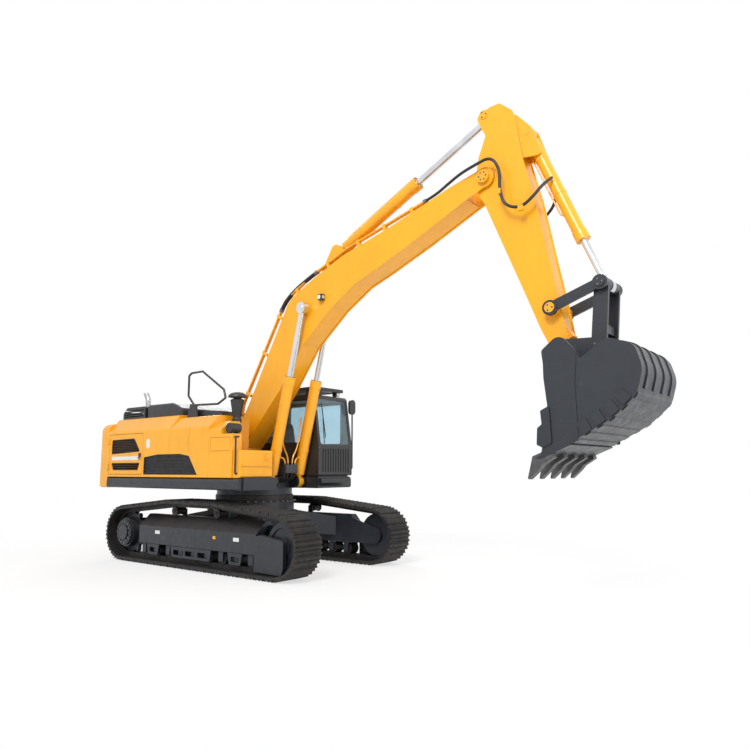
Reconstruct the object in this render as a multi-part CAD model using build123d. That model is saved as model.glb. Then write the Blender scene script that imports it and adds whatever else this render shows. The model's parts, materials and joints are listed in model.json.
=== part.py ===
from build123d import *
import os
from math import atan2, ceil, cos, degrees, hypot, pi, radians, sin, tan

# Crawler excavator of the fifty tonne class, as it stands in the photograph.
# Millimetres. X points forward to the bucket, Y to the left (cab side), Z up from the ground.
# Everything is laid out about the slewing axis, and then moved back by SLEW_X so that
# the origin lies on the ground under the middle of the whole machine.
SLEW_X = -2107.0

# Fits and clearances
SEAT = 0.3
RUN = 6.0
DOOR_GAP = 8.0

# Tracks
GAUGE = 2460.0
SHOE_WIDTH = 600.0
IDLER_X = 2190.0
SPROCKET_X = -2280.0
PIN_RADIUS = 440.0
PITCH = 216.0
PLATE_UNDER = 45.0
PLATE_THICK = 20.0
GROUSER = 35.0
RAIL_DEPTH = 50.0
RAIL_GAP = 90.0
RAIL_WIDTH = 40.0
SHOE_GAP = 14.0
GROUSER_TIPS = (0.10, 0.50, 0.90)
GROUSER_VALLEYS = (0.30, 0.70)
CARRIER_X = (-750.0, 500.0)
CARRIER_RADIUS = 75.0
CARRIER_Z = 1010.0
ROLLER_COUNT = 9
ROLLER_RADIUS = 100.0
ROLLER_FIRST_X = -1640.0
ROLLER_LAST_X = 1480.0
SHOE_OUT = PLATE_UNDER + PLATE_THICK + GROUSER
WHEEL_Z = PIN_RADIUS + SHOE_OUT

# Track frames and car body
FRAME_OUT = 190.0
FRAME_IN = 160.0
FRAME_FLOOR = 370.0
FRAME_SIDE_TOP = 700.0
FRAME_TOP = 920.0
FRAME_REAR = -1760.0
FRAME_FRONT = 1640.0
YOKE_FRONT = 2300.0
YOKE_FLOOR = 90.0
YOKE_PLATE = 80.0
GUARD_PLATE = 25.0
FINAL_DRIVE_RADIUS = 285.0
BELLY_Z = 560.0
CAR_TOP_Z = 1180.0
RING_RADIUS = 760.0
RING_WALL = 130.0
RING_HEIGHT = 130.0

# Upper structure
HALF_WIDTH = 1500.0
DECK_FLOOR = 1430.0
DECK_TOP = 1650.0
DECK_FRONT = 1280.0
RAIL_BODY = 100.0
NOTCH_X = 700.0
NOTCH_RIGHT = -620.0
NOTCH_LEFT = 478.0
TAIL_CORNER = 280.0
WEIGHT_FLOOR = 1425.0
WEIGHT_TOP = 2760.0
HOUSE_REAR = -2930.0
WEIGHT_DEPTH = 710.0
TAIL_RADIUS = WEIGHT_DEPTH - HOUSE_REAR
HOUSE_FRONT = -760.0
HOUSE_SIDE_TOP = 2570.0
HOUSE_TOP = 2850.0
SHOULDER = 220.0
WALL = 45.0
TANK_FRONT = 420.0
TANK_IN = -560.0
FUEL_FRONT = 1070.0
FUEL_TOP = 2660.0
TANK_RISE = 130.0
FUEL_SHELF = 2420.0
FUEL_LEDGE = 2130.0
FUEL_SHELF_X = 770.0
BOX_FRONT = 1250.0
BOX_IN = -690.0
BOX_TOP = 2130.0
HOOD_REAR = -1980.0
HOOD_FRONT = -800.0
HOOD_HALF = 1230.0
HOOD_TOP = 3120.0

# Cab
CAB_RIGHT = 492.0
CAB_LEFT = HALF_WIDTH
CAB_REAR = -640.0
CAB_FLOOR = 1670.0
CAB_ROOF = 3290.0
CAB_WALL = 50.0
CAB_FRONT = 1270.0
CAB_BROW = 1090.0
GLASS = 8.0

# Working pins, in the machine's plane (x, z)
BOOM_FOOT = (-300.0, 2150.0)
BOOM_TIP = (5450.0, 6350.0)
LIFT_BASE = (840.0, 1560.0)
LIFT_EYE = (1620.0, 4800.0)
ARM_BASE = (2250.0, 5850.0)
ARM_EYE = (5440.0, 7430.0)
CURL_BASE = (6130.0, 6930.0)
LINK_PIVOT = (6480.0, 4070.0)
LINK_HEAD = (7210.0, 4320.0)
BUCKET_PIN = (6600.0, 3450.0)
BUCKET_LINK_PIN = (7130.0, 3430.0)

# Boom, arm and bucket across the machine
BOOM_HALF = 245.0
BOOM_PLATE = 28.0
FORK_PLATE = 45.0
ARM_HALF = 185.0
LIFT_Y = 362.0
LIFT_BARREL = 100.0
LIFT_ROD = 55.0
EYE_HALF = 62.0
PIN = 55.0
ARM_BARREL = 110.0
ARM_ROD = 60.0
CURL_BARREL = 95.0
CURL_ROD = 52.0
LUG_PLATE = 30.0
BUCKET_HALF = 800.0
TEETH = 5

# Shapes and places within the parts above
COLLAR_IN = 124.0
COLLAR_THICK = 22.0
CARRIER_SAG = 5.0
HINGE_OUT = 22.0
HINGE_PIN = 9.0
HINGE_SLEEVE = 16.0
DOOR_FLOOR = DECK_TOP + 45
DOOR_TOP = HOUSE_SIDE_TOP - 50
DOOR_RIGHT_X = (-2885.0, -1660.0)
DOOR_LEFT_REAR_X = (-2885.0, -1890.0)
DOOR_LEFT_FRONT_X = (-1845.0, -820.0)
VENT_TOP = 2085.0
LOUVRE_REAR = -2870.0
HINGE_Z = (1850.0, 2370.0)
HOOD_HINGE_Y = (-700.0, 700.0)
HOOD_AXIS_Z = HOUSE_TOP + 22.0
HOOD_AXIS_X = HOOD_FRONT + 26.0
UPPER_GRILLE = [(-2800, 2110, 25), (-1745, 2150, 25), (-1970, 2420, 25), (-2800, 2405, 25)]
LOWER_GRILLE = [(-2720, 1780, 20), (-1810, 1780, 20), (-1750, 1930, 20), (-2790, 1930, 20)]
LEFT_GRILLE = [(-2790, 1780, 25), (-1985, 1780, 25), (-1985, 2420, 25), (-2790, 2420, 25)]
VENT = [(-1610, DOOR_FLOOR, 20), (110, DOOR_FLOOR, 0), (-150, VENT_TOP - 40, 40),
        (-430, VENT_TOP, 60), (-1150, VENT_TOP, 60), (-1610, VENT_TOP - 50, 20)]
RAIL_TUBE = 21.0
RAIL_IN = 300.0
DOOR_X = (60.0, 1060.0)
DOOR_Z = (CAB_FLOOR + 25.0, CAB_ROOF - 60.0)
SILL = 2290.0
PANE_TOP = CAB_ROOF - 90.0
DOOR_UPPER = (150, 985, SILL + 30, PANE_TOP - 50)
DOOR_LOWER = (150, 985, 1860, SILL - 40)
GUARD_LIFT = 95.0
BOOM_TOP = [(-170, 2750, 90), (90, 3170, 0), (1090, 4960, 0), (1210, 5090, 250), (1840, 5400, 0),
            (2530, 5680, 0), (3570, 5960, 0), (4820, 6350, 0)]
BOOM_BELLY = [(5150, 6075, 0), (4160, 5630, 0), (3330, 5290, 0), (2820, 5100, 0), (2240, 4740, 350),
              (1510, 4120, 0), (900, 3290, 0), (-90, 2210, 0)]
FORK_REACH = 440.0
PIPE_RUN = [(-265, 2690), (-150, 3130), (1000, 5075), (1640, 5420), (2600, 5800), (4300, 6250)]
PIPE_CLAMPS = [(1, 0.1), (1, 0.5), (1, 0.85), (2, 0.5), (3, 0.5), (4, 0.15), (4, 0.5), (4, 0.85)]
NECK = 150.0
ARM_SIDE = [(5560, 7520, 60), (5290, 7440, 100), (5464, 7060, 0), (5330, 6730, 150), (5270, 6400, 150),
            (5320, 6080, 120), (5410, 5950, 0), (5733, 5155, 0), (6060, 4355, 0), (6281, 3800, 0),
            (6450, 3450, 0), (6750, 3450, 0), (6650, 3750, 0), (6576, 4180, 0), (6420, 4960, 0),
            (6250, 5850, 0), (6080, 6520, 0), (5985, 7140, 60), (5940, 7334, 60), (5720, 7530, 60)]
LINK_IN = 262.0
LINK_OUT = 312.0
BUCKET_OUT = [(6560, 3230, 0), (7060, 3205, 120), (7420, 3450, 130), (7760, 3330, 180), (7850, 3020, 350),
              (7760, 2690, 350), (7440, 2410, 500), (6830, 2090, 0), (6470, 1925, 0)]
BUCKET_EDGE = [(6500, 2040, 0), (6600, 2620, 200), (6560, 3000, 0)]
SIDE_TOP = [(6540, 3370, 60), (6800, 3575, 130), (7010, 3330, 60)]
LIP = [(6470, 1925, 0), (6900, 2100, 0), (6880, 2150, 0), (6400, 1935, 0)]


def prism(sketch, y0, y1):
    """A sketch drawn as (forward, up), pushed across the machine from y0 to y1."""
    return extrude(Plane.XZ.offset(-y0) * sketch, amount=y0 - y1)


def beam(sketch, x0, x1):
    """A sketch drawn as (left, up), pushed forward from x0 to x1."""
    return extrude(Plane.YZ.offset(x0) * sketch, amount=x1 - x0)


def slab(sketch, z0, z1):
    """A sketch drawn as (forward, left), pushed up from z0 to z1."""
    return extrude(Plane.XY.offset(z0) * sketch, amount=z1 - z0)


def block(x0, x1, y0, y1, z0, z1):
    return Pos((x0 + x1) / 2, (y0 + y1) / 2, (z0 + z1) / 2) * Box(x1 - x0, y1 - y0, z1 - z0)


def across(centre, radius, y0, y1):
    """A round bar across the machine about centre = (x, z)."""
    return prism(Pos(*centre) * Circle(radius), y0, y1)


def both(*shapes):
    """The shapes and their mirror images on the other side of the machine."""
    made = []
    for shape in shapes:
        made += [shape, mirror(shape, about=Plane.XZ)]
    return made


def fuse(*shapes):
    whole = shapes[0]
    for shape in shapes[1:]:
        whole = whole + shape
    return whole


def outline(corners):
    """A closed outline through (u, v, radius) corners, each one rounded by its radius."""
    count = len(corners)
    marks = []
    for i, (u, v, radius) in enumerate(corners):
        here = Vector(u, v)
        if not radius:
            marks.append((here,))
            continue
        before = (Vector(*corners[i - 1][:2]) - here).normalized()
        after = (Vector(*corners[(i + 1) % count][:2]) - here).normalized()
        half = radians(before.get_angle(after)) / 2
        reach = radius / tan(half)
        middle = here + (before + after).normalized() * (radius / sin(half) - radius)
        marks.append((here + before * reach, middle, here + after * reach))
    edges = []
    for i, mark in enumerate(marks):
        if len(mark) == 3:
            edges.append(ThreePointArc(*mark))
        following = marks[(i + 1) % count][0]
        if (following - mark[-1]).length > 0.001:
            edges.append(Line(mark[-1], following))
    return make_face(edges)


def belt(circles):
    """Outward angles of the straight runs of a belt laid counter-clockwise round (x, z, radius)."""
    angles = []
    for i, (x0, z0, r0) in enumerate(circles):
        x1, z1, r1 = circles[(i + 1) % len(circles)]
        span = hypot(x1 - x0, z1 - z0)
        lean = atan2(r0 - r1, (span**2 - (r0 - r1) ** 2) ** 0.5)
        angles.append(atan2(z1 - z0, x1 - x0) - pi / 2 + lean)
    return angles


def on_circle(circle, angle):
    return (circle[0] + circle[2] * cos(angle), circle[1] + circle[2] * sin(angle))


def wrapped(*circles):
    """The face inside a belt laid counter-clockwise round circles (x, z, radius)."""
    angles = belt(circles)
    edges = []
    for i, circle in enumerate(circles):
        start = angles[i - 1]
        sweep_angle = (angles[i] - start) % (2 * pi)
        ends = [on_circle(circle, start + share * sweep_angle) for share in (0, 0.5, 1)]
        edges.append(ThreePointArc(*ends))
        following = circles[(i + 1) % len(circles)]
        edges.append(Line(ends[2], on_circle(following, angles[i])))
    return make_face(edges)


def tube(points, radius, bend, closed=False):
    """A bent pipe through points, every corner with the same bend radius."""
    path = FilletPolyline(*points, radius=bend, close=closed)
    start = path @ 0
    return sweep(Plane(origin=start, z_dir=path % 0) * Circle(radius), path=path)


def save(name, *shapes):
    """Writes one node, moved from the slewing axis to the machine's own origin."""
    solids = [solid for shape in shapes for solid in shape.solids()]
    export_step(Pos(SLEW_X, 0, 0) * Compound(solids), os.path.join("parts", name + ".step"))


# Crawler tracks


def track_circles():
    carrier = CARRIER_RADIUS + RAIL_DEPTH + SEAT
    return [
        (IDLER_X, WHEEL_Z, PIN_RADIUS),
        (CARRIER_X[1], CARRIER_Z, carrier),
        (CARRIER_X[0], CARRIER_Z, carrier),
        (SPROCKET_X, WHEEL_Z, PIN_RADIUS),
    ]


def chain_pins():
    """Chain pin centres, evenly spaced along the belt line of the track."""
    circles = track_circles()
    angles = belt(circles)
    pieces = []
    for i, circle in enumerate(circles):
        turn = (angles[i] - angles[i - 1]) % (2 * pi)
        pieces.append((circle, angles[i - 1], turn, turn * circle[2]))
        here = on_circle(circle, angles[i])
        there = on_circle(circles[(i + 1) % len(circles)], angles[i])
        pieces.append((here, there, None, hypot(there[0] - here[0], there[1] - here[1])))
    length = sum(piece[3] for piece in pieces)
    count = round(length / PITCH)
    pins = []
    for k in range(count):
        rest = length * k / count
        for first, second, turn, run in pieces:
            if rest < run:
                break
            rest -= run
        share = rest / run
        if turn is None:
            pins.append(tuple(a + share * (b - a) for a, b in zip(first, second)))
        else:
            pins.append(on_circle(first, second + share * turn))
    return pins


def shoe_frame(pins, k):
    """Start, direction, outward normal and length of the link from pin k to the next."""
    (x0, z0), (x1, z1) = pins[k], pins[(k + 1) % len(pins)]
    run = hypot(x1 - x0, z1 - z0)
    along = ((x1 - x0) / run, (z1 - z0) / run)
    return (x0, z0), along, (along[1], -along[0]), run


def offset_pins(pins, height):
    """The pins moved outward by height along the mean normal of the links that meet there."""
    moved = []
    for k, (x, z) in enumerate(pins):
        before = shoe_frame(pins, k - 1)[2]
        after = shoe_frame(pins, k)[2]
        nx, nz = before[0] + after[0], before[1] + after[1]
        size = hypot(nx, nz)
        moved.append((x + height * nx / size, z + height * nz / size))
    return moved


def shoe_outline(pins):
    """Outer outline of the shoes: a gap at each pin, a plate, and three grousers on it."""
    plate = PLATE_UNDER + PLATE_THICK
    gaps = offset_pins(pins, PLATE_UNDER)
    points = []
    for k, gap in enumerate(gaps):
        (x, z), along, normal, run = shoe_frame(pins, k)
        edge = SHOE_GAP / run
        stations = [(edge, plate), (1 - edge, plate)]
        stations += [(tip, SHOE_OUT) for tip in GROUSER_TIPS]
        stations += [(valley, plate) for valley in GROUSER_VALLEYS]
        points.append(gap)
        for share, height in sorted(stations):
            reach = share * run
            points.append(
                (x + along[0] * reach + normal[0] * height, z + along[1] * reach + normal[1] * height)
            )
    return points


def closed_face(points):
    return make_face(Polyline(*points, close=True))


def track_loop(side):
    """One endless track: shoes with grousers, joined to the two link rails under them."""
    pins = chain_pins()
    web = PLATE_UNDER / 2
    seat_line = closed_face(offset_pins(pins, web))
    shoes = closed_face(shoe_outline(pins)) - seat_line
    rails = seat_line - closed_face(offset_pins(pins, -RAIL_DEPTH))
    middle = side * GAUGE / 2
    loop = prism(shoes, middle - SHOE_WIDTH / 2, middle + SHOE_WIDTH / 2)
    inner = RAIL_GAP / 2
    for sign in (-1, 1):
        edges = sorted((middle + sign * inner, middle + sign * (inner + RAIL_WIDTH)))
        loop = loop + prism(rails, *edges)
    return loop


def link_step():
    """Half the angle that one link spans on the idler or sprocket."""
    return PITCH / (2 * PIN_RADIUS)


def tread_radius():
    return (PIN_RADIUS - RAIL_DEPTH) * cos(link_step()) - SEAT - 1.5


def final_drive(side):
    """Toothed wheel between the link rails, with its round gear case and the motor inboard."""
    teeth = 13
    root, tip = PIN_RADIUS - 60, PIN_RADIUS
    points = []
    for k in range(teeth):
        middle = 2 * pi * k / teeth
        for share, radius in ((-0.34, root), (-0.13, tip), (0.13, tip), (0.34, root)):
            angle = middle + share * 2 * pi / teeth
            points.append((radius * cos(angle), radius * sin(angle)))
    wheel = Pos(SPROCKET_X, WHEEL_Z) * closed_face(points)
    middle = GAUGE / 2
    half = RAIL_GAP / 2 - 10
    centre = (SPROCKET_X, WHEEL_Z)
    case_end = middle + FRAME_OUT + 20
    body = fuse(
        prism(wheel, middle - half, middle + half),
        across(centre, 240, middle - FRAME_IN + 40, middle - half),
        across(centre, FINAL_DRIVE_RADIUS, middle + half, case_end - 45),
        across(centre, FINAL_DRIVE_RADIUS - 35, case_end - 45, case_end),
        across(centre, 60, case_end, case_end + 12),
        across(centre, 190, middle - FRAME_IN - 120, middle - FRAME_IN + 40),
    )
    return body if side > 0 else mirror(body, about=Plane.XZ)


def idler(side):
    """Front wheel: two treads under the rails, a flange between them, and a hub."""
    middle = GAUGE / 2
    centre = (IDLER_X, WHEEL_Z)
    half = RAIL_GAP / 2
    tread = tread_radius()
    wheel = fuse(
        across(centre, tread + 36, middle - half + 8, middle + half - 8),
        across(centre, tread, middle - half - RAIL_WIDTH, middle + half + RAIL_WIDTH),
        across(centre, 105, middle - FRAME_IN + 40, middle + FRAME_OUT - YOKE_PLATE),
    )
    dish = across(centre, tread - 70, middle + half + RAIL_WIDTH - 25, middle + half + RAIL_WIDTH)
    wheel = wheel - (dish - across(centre, 150, middle, middle + half + RAIL_WIDTH))
    return wheel if side > 0 else mirror(wheel, about=Plane.XZ)


def roller_z():
    return WHEEL_Z - PIN_RADIUS + RAIL_DEPTH + ROLLER_RADIUS + SEAT


def roller_places():
    step = (ROLLER_LAST_X - ROLLER_FIRST_X) / (ROLLER_COUNT - 1)
    return [ROLLER_FIRST_X + step * k for k in range(ROLLER_COUNT)]


def spool(x, z, radius, shaft, shaft_in, shaft_out):
    """A flanged roller on its shaft, on the left track."""
    middle = GAUGE / 2
    edge = RAIL_GAP / 2 + RAIL_WIDTH + 8
    return fuse(
        across((x, z), radius, middle - edge, middle + edge),
        across((x, z), radius + 15, middle - edge - 14, middle - edge),
        across((x, z), radius + 15, middle + edge, middle + edge + 14),
        across((x, z), shaft, middle - shaft_in, middle - edge - 14),
        across((x, z), shaft, middle + edge + 14, middle + shaft_out),
    )


def track_rollers():
    rollers = [spool(x, roller_z(), ROLLER_RADIUS, 40, COLLAR_IN, COLLAR_IN) for x in roller_places()]
    return both(*rollers)


def carrier_rollers():
    radius = CARRIER_RADIUS - CARRIER_SAG
    rollers = [spool(x, CARRIER_Z, radius, 30, COLLAR_IN, COLLAR_IN - 6) for x in CARRIER_X]
    return both(*rollers)


def frame_section():
    """Cross section of a track frame: flat floor and sides, with a top that sheds dirt."""
    middle = GAUGE / 2
    return outline(
        [
            (middle - FRAME_IN, FRAME_FLOOR, 15),
            (middle + FRAME_OUT, FRAME_FLOOR, 15),
            (middle + FRAME_OUT, FRAME_SIDE_TOP, 20),
            (middle - 30, FRAME_TOP, 30),
            (middle - FRAME_IN, FRAME_TOP, 15),
        ]
    )


def roller_guard(x0, x1, windows):
    """A guard plate hung below the frame's outer side, with windows onto the rollers."""
    middle = GAUGE / 2
    floor = roller_z() - ROLLER_RADIUS + 25
    plate = outline([(x0, FRAME_FLOOR, 0), (x0 + 40, floor, 30), (x1 - 40, floor, 30), (x1, FRAME_FLOOR, 0)])
    width = (x1 - x0 - 120) / windows
    for k in range(windows):
        centre = x0 + 60 + width * (k + 0.5)
        plate = plate - Pos(centre, floor + 90) * RectangleRounded(width - 60, 90, 25)
    out = middle + FRAME_OUT
    return prism(plate, out - GUARD_PLATE, out)


def yoke_outline():
    """Outer cheek at the front of a track frame, which covers the idler's hub."""
    return outline(
        [
            (FRAME_FRONT - 30, YOKE_FLOOR + 20, 0),
            (YOKE_FRONT - 40, YOKE_FLOOR, 30),
            (YOKE_FRONT, YOKE_FLOOR + 120, 60),
            (YOKE_FRONT, FRAME_SIDE_TOP - 60, 60),
            (FRAME_FRONT + 120, FRAME_SIDE_TOP + 10, 40),
            (FRAME_FRONT - 30, FRAME_SIDE_TOP - 20, 0),
        ]
    )


def track_frame(side):
    middle = GAUGE / 2
    out = middle + FRAME_OUT
    inner = middle - FRAME_IN
    frame = beam(frame_section(), FRAME_REAR, FRAME_FRONT)
    cheek = prism(yoke_outline(), out - YOKE_PLATE, out)
    fork = prism(wrapped((IDLER_X, WHEEL_Z, 150), (1600, 800, 60), (1600, 440, 60)), inner, inner + 40)
    bracket = prism(
        wrapped((-1700, 440, 40), (-1700, 800, 40), (SPROCKET_X, WHEEL_Z, 270)), inner, inner + 40
    )
    bracket = bracket - across((SPROCKET_X, WHEEL_Z), 190 + SEAT, inner - 1, inner + 41)
    frame = fuse(frame, cheek, fork, bracket)
    for x in roller_places():
        for y in (middle - COLLAR_IN - COLLAR_THICK, middle + COLLAR_IN):
            frame = frame + block(x - 60, x + 60, y, y + COLLAR_THICK, roller_z() - 55, FRAME_FLOOR + 5)
    for x in CARRIER_X:
        post_in = middle - COLLAR_IN - COLLAR_THICK
        frame = frame + block(x - 60, x + 60, post_in, post_in + COLLAR_THICK, FRAME_TOP - 20, CARRIER_Z + 40)
    for guard in (roller_guard(-1480, -1090, 1), roller_guard(-720, 480, 3), roller_guard(930, 1310, 1)):
        frame = frame + guard
    return frame if side > 0 else mirror(frame, about=Plane.XZ)


def car_leg():
    """One leg of the car body, from its middle out to the left track frame's inner side."""
    reach = GAUGE / 2 - FRAME_IN
    inner = Plane.XZ.offset(-430) * Pos(430, 790) * Rectangle(520, 440)
    outer = Plane.XZ.offset(-reach) * Pos(900, 680) * Rectangle(640, 360)
    return loft([*inner.faces(), *outer.faces()])


def car_body():
    """Middle of the undercarriage: four sloping legs under a round tower for the slewing ring."""
    tower = slab(Circle(RING_RADIUS + 25), 860, CAR_TOP_Z)
    middle = slab(RectangleRounded(1500, 1000, 120), BELLY_Z, 1010)
    leg = car_leg()
    legs = []
    for one in both(leg):
        legs += [one, mirror(one, about=Plane.YZ)]
    body = fuse(middle, tower, *legs)
    body = body - slab(Circle(RING_RADIUS - 420), BELLY_Z - 10, CAR_TOP_Z + 10)
    return body


def slew_ring():
    ring = slab(Circle(RING_RADIUS) - Circle(RING_RADIUS - RING_WALL), CAR_TOP_Z, CAR_TOP_Z + RING_HEIGHT)
    return chamfer(ring.edges().filter_by(GeomType.CIRCLE).group_by(Axis.Z)[-1], 8)


# Upper structure


def hinge_fixed(x, y, z, wall):
    """Fixed half of a door hinge: two lugs on the wall at y = wall, with the pin through them."""
    low, high = sorted((wall, y + (HINGE_SLEEVE if y > wall else -HINGE_SLEEVE)))
    lugs = [block(x - 30, x + 8, low, high, z + a, z + a + 12) for a in (-53, 41)]
    return fuse(*lugs, Pos(x, y, z) * Cylinder(HINGE_PIN, 94))


def hinge_moving(x, y, z, wall, toward):
    """Moving half of a door hinge: a sleeve on the pin and a strap over the door's face."""
    face = wall + (10 if y > wall else -10)
    low, high = sorted((wall, face))
    x0, x1 = sorted((x, x + toward * 110))
    strap = block(x0, x1, low, high, z - 38, z + 38)
    neck_low, neck_high = sorted((face, y))
    neck = block(x - 12, x + 12, neck_low, neck_high, z - 38, z + 38)
    sleeve = Pos(x, y, z) * Cylinder(HINGE_SLEEVE, 76)
    bore = Pos(x, y, z) * Cylinder(HINGE_PIN + SEAT, 80)
    gap = block(x - 40, x + toward * 4, low - 1, high + 1, z - 50, z + 50)
    return fuse(strap, neck, sleeve) - bore - (gap if toward > 0 else block(
        x - 4, x + 40, low - 1, high + 1, z - 50, z + 50))


def deck_plan():
    length = DECK_FRONT - HOUSE_REAR
    width = HALF_WIDTH - RAIL_BODY
    plate = Pos((DECK_FRONT + HOUSE_REAR) / 2, 0) * Rectangle(length, 2 * width)
    depth = DECK_FRONT - NOTCH_X + 20
    notch = Pos(NOTCH_X + depth / 2, (NOTCH_LEFT + NOTCH_RIGHT) / 2)
    return plate - notch * Rectangle(depth, NOTCH_LEFT - NOTCH_RIGHT)


def side_rail(sign):
    """Rounded edge beam along one side of the deck."""
    inner = HALF_WIDTH - RAIL_BODY
    rail = outline(
        [
            (inner, DECK_FLOOR, 0),
            (HALF_WIDTH, DECK_FLOOR, 45),
            (HALF_WIDTH, DECK_TOP - 5, 70),
            (inner, DECK_TOP - 5, 0),
        ]
    )
    body = beam(rail, HOUSE_REAR, DECK_FRONT - 30)
    return body if sign > 0 else mirror(body, about=Plane.XZ)


def side_skirts():
    """Rounded beams along both sides of the deck, with a step on each one's underside."""
    return [side_rail(1), side_rail(-1)]


def foot_lug():
    """Cheek plate that holds one end of the boom's foot pin."""
    cheek = wrapped((60, DECK_TOP + 40, 40), (*BOOM_FOOT, 175), (-640, DECK_TOP + 40, 40))
    return prism(cheek, BOOM_HALF + 17, BOOM_HALF + 77)


def lift_lug(y0, y1):
    shape = wrapped((*LIFT_BASE, 115), (620, 1590, 50), (620, 1490, 50))
    return prism(shape, y0, y1)


def upper_frame():
    deck = slab(deck_plan(), DECK_FLOOR, DECK_TOP)
    ring_top = CAR_TOP_Z + RING_HEIGHT + SEAT
    turntable = slab(Circle(RING_RADIUS - 20), ring_top, DECK_FLOOR + 10)
    frame = fuse(deck, turntable)
    inner_plate = lift_lug(LIFT_Y - EYE_HALF - 38, LIFT_Y - EYE_HALF - 5)
    outer_plate = lift_lug(LIFT_Y + EYE_HALF + 8, LIFT_Y + EYE_HALF + 38)
    pin = across(LIFT_BASE, PIN, LIFT_Y - EYE_HALF - 30, LIFT_Y + EYE_HALF + 38)
    for piece in both(foot_lug(), inner_plate, outer_plate, pin):
        frame = frame + piece
    frame = frame + across(BOOM_FOOT, PIN + 15, -BOOM_HALF - 77, BOOM_HALF + 77)
    for piece in both(across(BOOM_FOOT, PIN + 55, BOOM_HALF + 77, BOOM_HALF + 90)):
        frame = frame + piece
    return frame


def counterweight():
    """Cast weight with a round back that turns with the tail swing."""
    depth = TAIL_RADIUS + HOUSE_REAR + 100
    plan = Circle(TAIL_RADIUS) & Pos(HOUSE_REAR - depth / 2, 0) * Rectangle(depth, 2 * HALF_WIDTH)
    body = slab(plan, WEIGHT_FLOOR, WEIGHT_TOP)
    corners = body.edges().filter_by(Axis.Z).sort_by(Axis.X)[:2]
    body = fillet(corners, TAIL_CORNER)
    top = body.faces().sort_by(Axis.Z)[-1]
    body = fillet(top.edges().filter_by(lambda e: e.center().X < HOUSE_REAR - 5), 170)
    low = body.faces().sort_by(Axis.Z)[0]
    body = chamfer(low.edges().filter_by(lambda e: e.center().X < HOUSE_REAR - 5), 35)
    for y in (-900, 900):
        x = HOUSE_REAR - 280
        eye = wrapped((x + 80, WEIGHT_TOP - 30, 60), (x, WEIGHT_TOP + 80, 70), (x - 80, WEIGHT_TOP - 30, 60))
        eye = eye - Pos(x, WEIGHT_TOP + 80) * Circle(38)
        body = body + prism(eye, y - 25, y + 25)
    return body


def house_section(inset):
    """Cross section of the engine house: upright sides, sloping shoulders and a flat top."""
    side = HALF_WIDTH - inset
    top = HOUSE_TOP - inset
    shoulder = HOUSE_SIDE_TOP - inset * 0.4
    floor = DECK_TOP - (50 if inset else 0)
    inner = HALF_WIDTH - SHOULDER - inset * 0.6
    return outline(
        [
            (-side, floor, 0),
            (side, floor, 0),
            (side, shoulder, 60),
            (inner, top, 60),
            (-inner, top, 60),
            (-side, shoulder, 60),
        ]
    )


def house_shell():
    shell = beam(house_section(0), HOUSE_REAR, HOUSE_FRONT)
    shell = shell - beam(house_section(WALL), HOUSE_REAR + WALL, HOUSE_FRONT - WALL)
    out, inner = HALF_WIDTH + 5, HALF_WIDTH - WALL - 5
    shell = shell - block(*DOOR_RIGHT_X, -out, -inner, DOOR_FLOOR, DOOR_TOP)
    shell = shell - vent_cut(-out, -inner)
    for span in (DOOR_LEFT_REAR_X, DOOR_LEFT_FRONT_X):
        shell = shell - block(*span, inner, out, DOOR_FLOOR, DOOR_TOP)
    shell = shell - block(
        HOOD_REAR + 60, HOOD_FRONT - 60, 60 - HOOD_HALF, HOOD_HALF - 60, HOUSE_TOP - 80, HOUSE_TOP + 10
    )
    shell = shell - block(
        LOUVRE_REAR + 60, HOOD_REAR - 90, 60 - HOOD_HALF, HOOD_HALF - 60, HOUSE_TOP - 80, HOUSE_TOP + 10
    )
    for z in HINGE_Z:
        shell = shell + hinge_fixed(DOOR_LEFT_REAR_X[0], HALF_WIDTH + HINGE_OUT, z, HALF_WIDTH)
        shell = shell + hinge_fixed(DOOR_LEFT_FRONT_X[0], HALF_WIDTH + HINGE_OUT, z, HALF_WIDTH)
        shell = shell + hinge_fixed(DOOR_RIGHT_X[0], -HALF_WIDTH - HINGE_OUT, z, -HALF_WIDTH)
    for y in HOOD_HINGE_Y:
        shell = shell + hood_hinge_fixed(y)
    return shell


def hood_hinge_fixed(y):
    lugs = [
        block(HOOD_AXIS_X - 14, HOOD_AXIS_X + 14, y + a, y + a + 12, HOUSE_TOP - 3, HOOD_AXIS_Z + 12)
        for a in (-53, 41)
    ]
    return fuse(*lugs, across((HOOD_AXIS_X, HOOD_AXIS_Z), HINGE_PIN, y - 47, y + 47))


def hood_hinge_moving(y):
    centre = (HOOD_AXIS_X, HOOD_AXIS_Z)
    sleeve = across(centre, HINGE_SLEEVE, y - 38, y + 38)
    strap = block(HOOD_FRONT - 12, HOOD_AXIS_X, y - 38, y + 38, HOOD_AXIS_Z + 2, HOOD_AXIS_Z + 16)
    return fuse(sleeve, strap) - across(centre, HINGE_PIN + SEAT, y - 40, y + 40)


def hood_profile(inset):
    """Side view of the hood: highest over the engine, lower toward the cab."""
    floor = HOUSE_TOP + RUN - (60 if inset else 0)
    return outline(
        [
            (HOOD_REAR + inset, floor, 0),
            (HOOD_FRONT - inset, floor, 0),
            (HOOD_FRONT - inset, HOOD_TOP - 130 - inset, 50),
            (HOOD_FRONT - 330, HOOD_TOP - inset, 200),
            (HOOD_REAR + inset, HOOD_TOP - inset, 60),
        ]
    )


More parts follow.
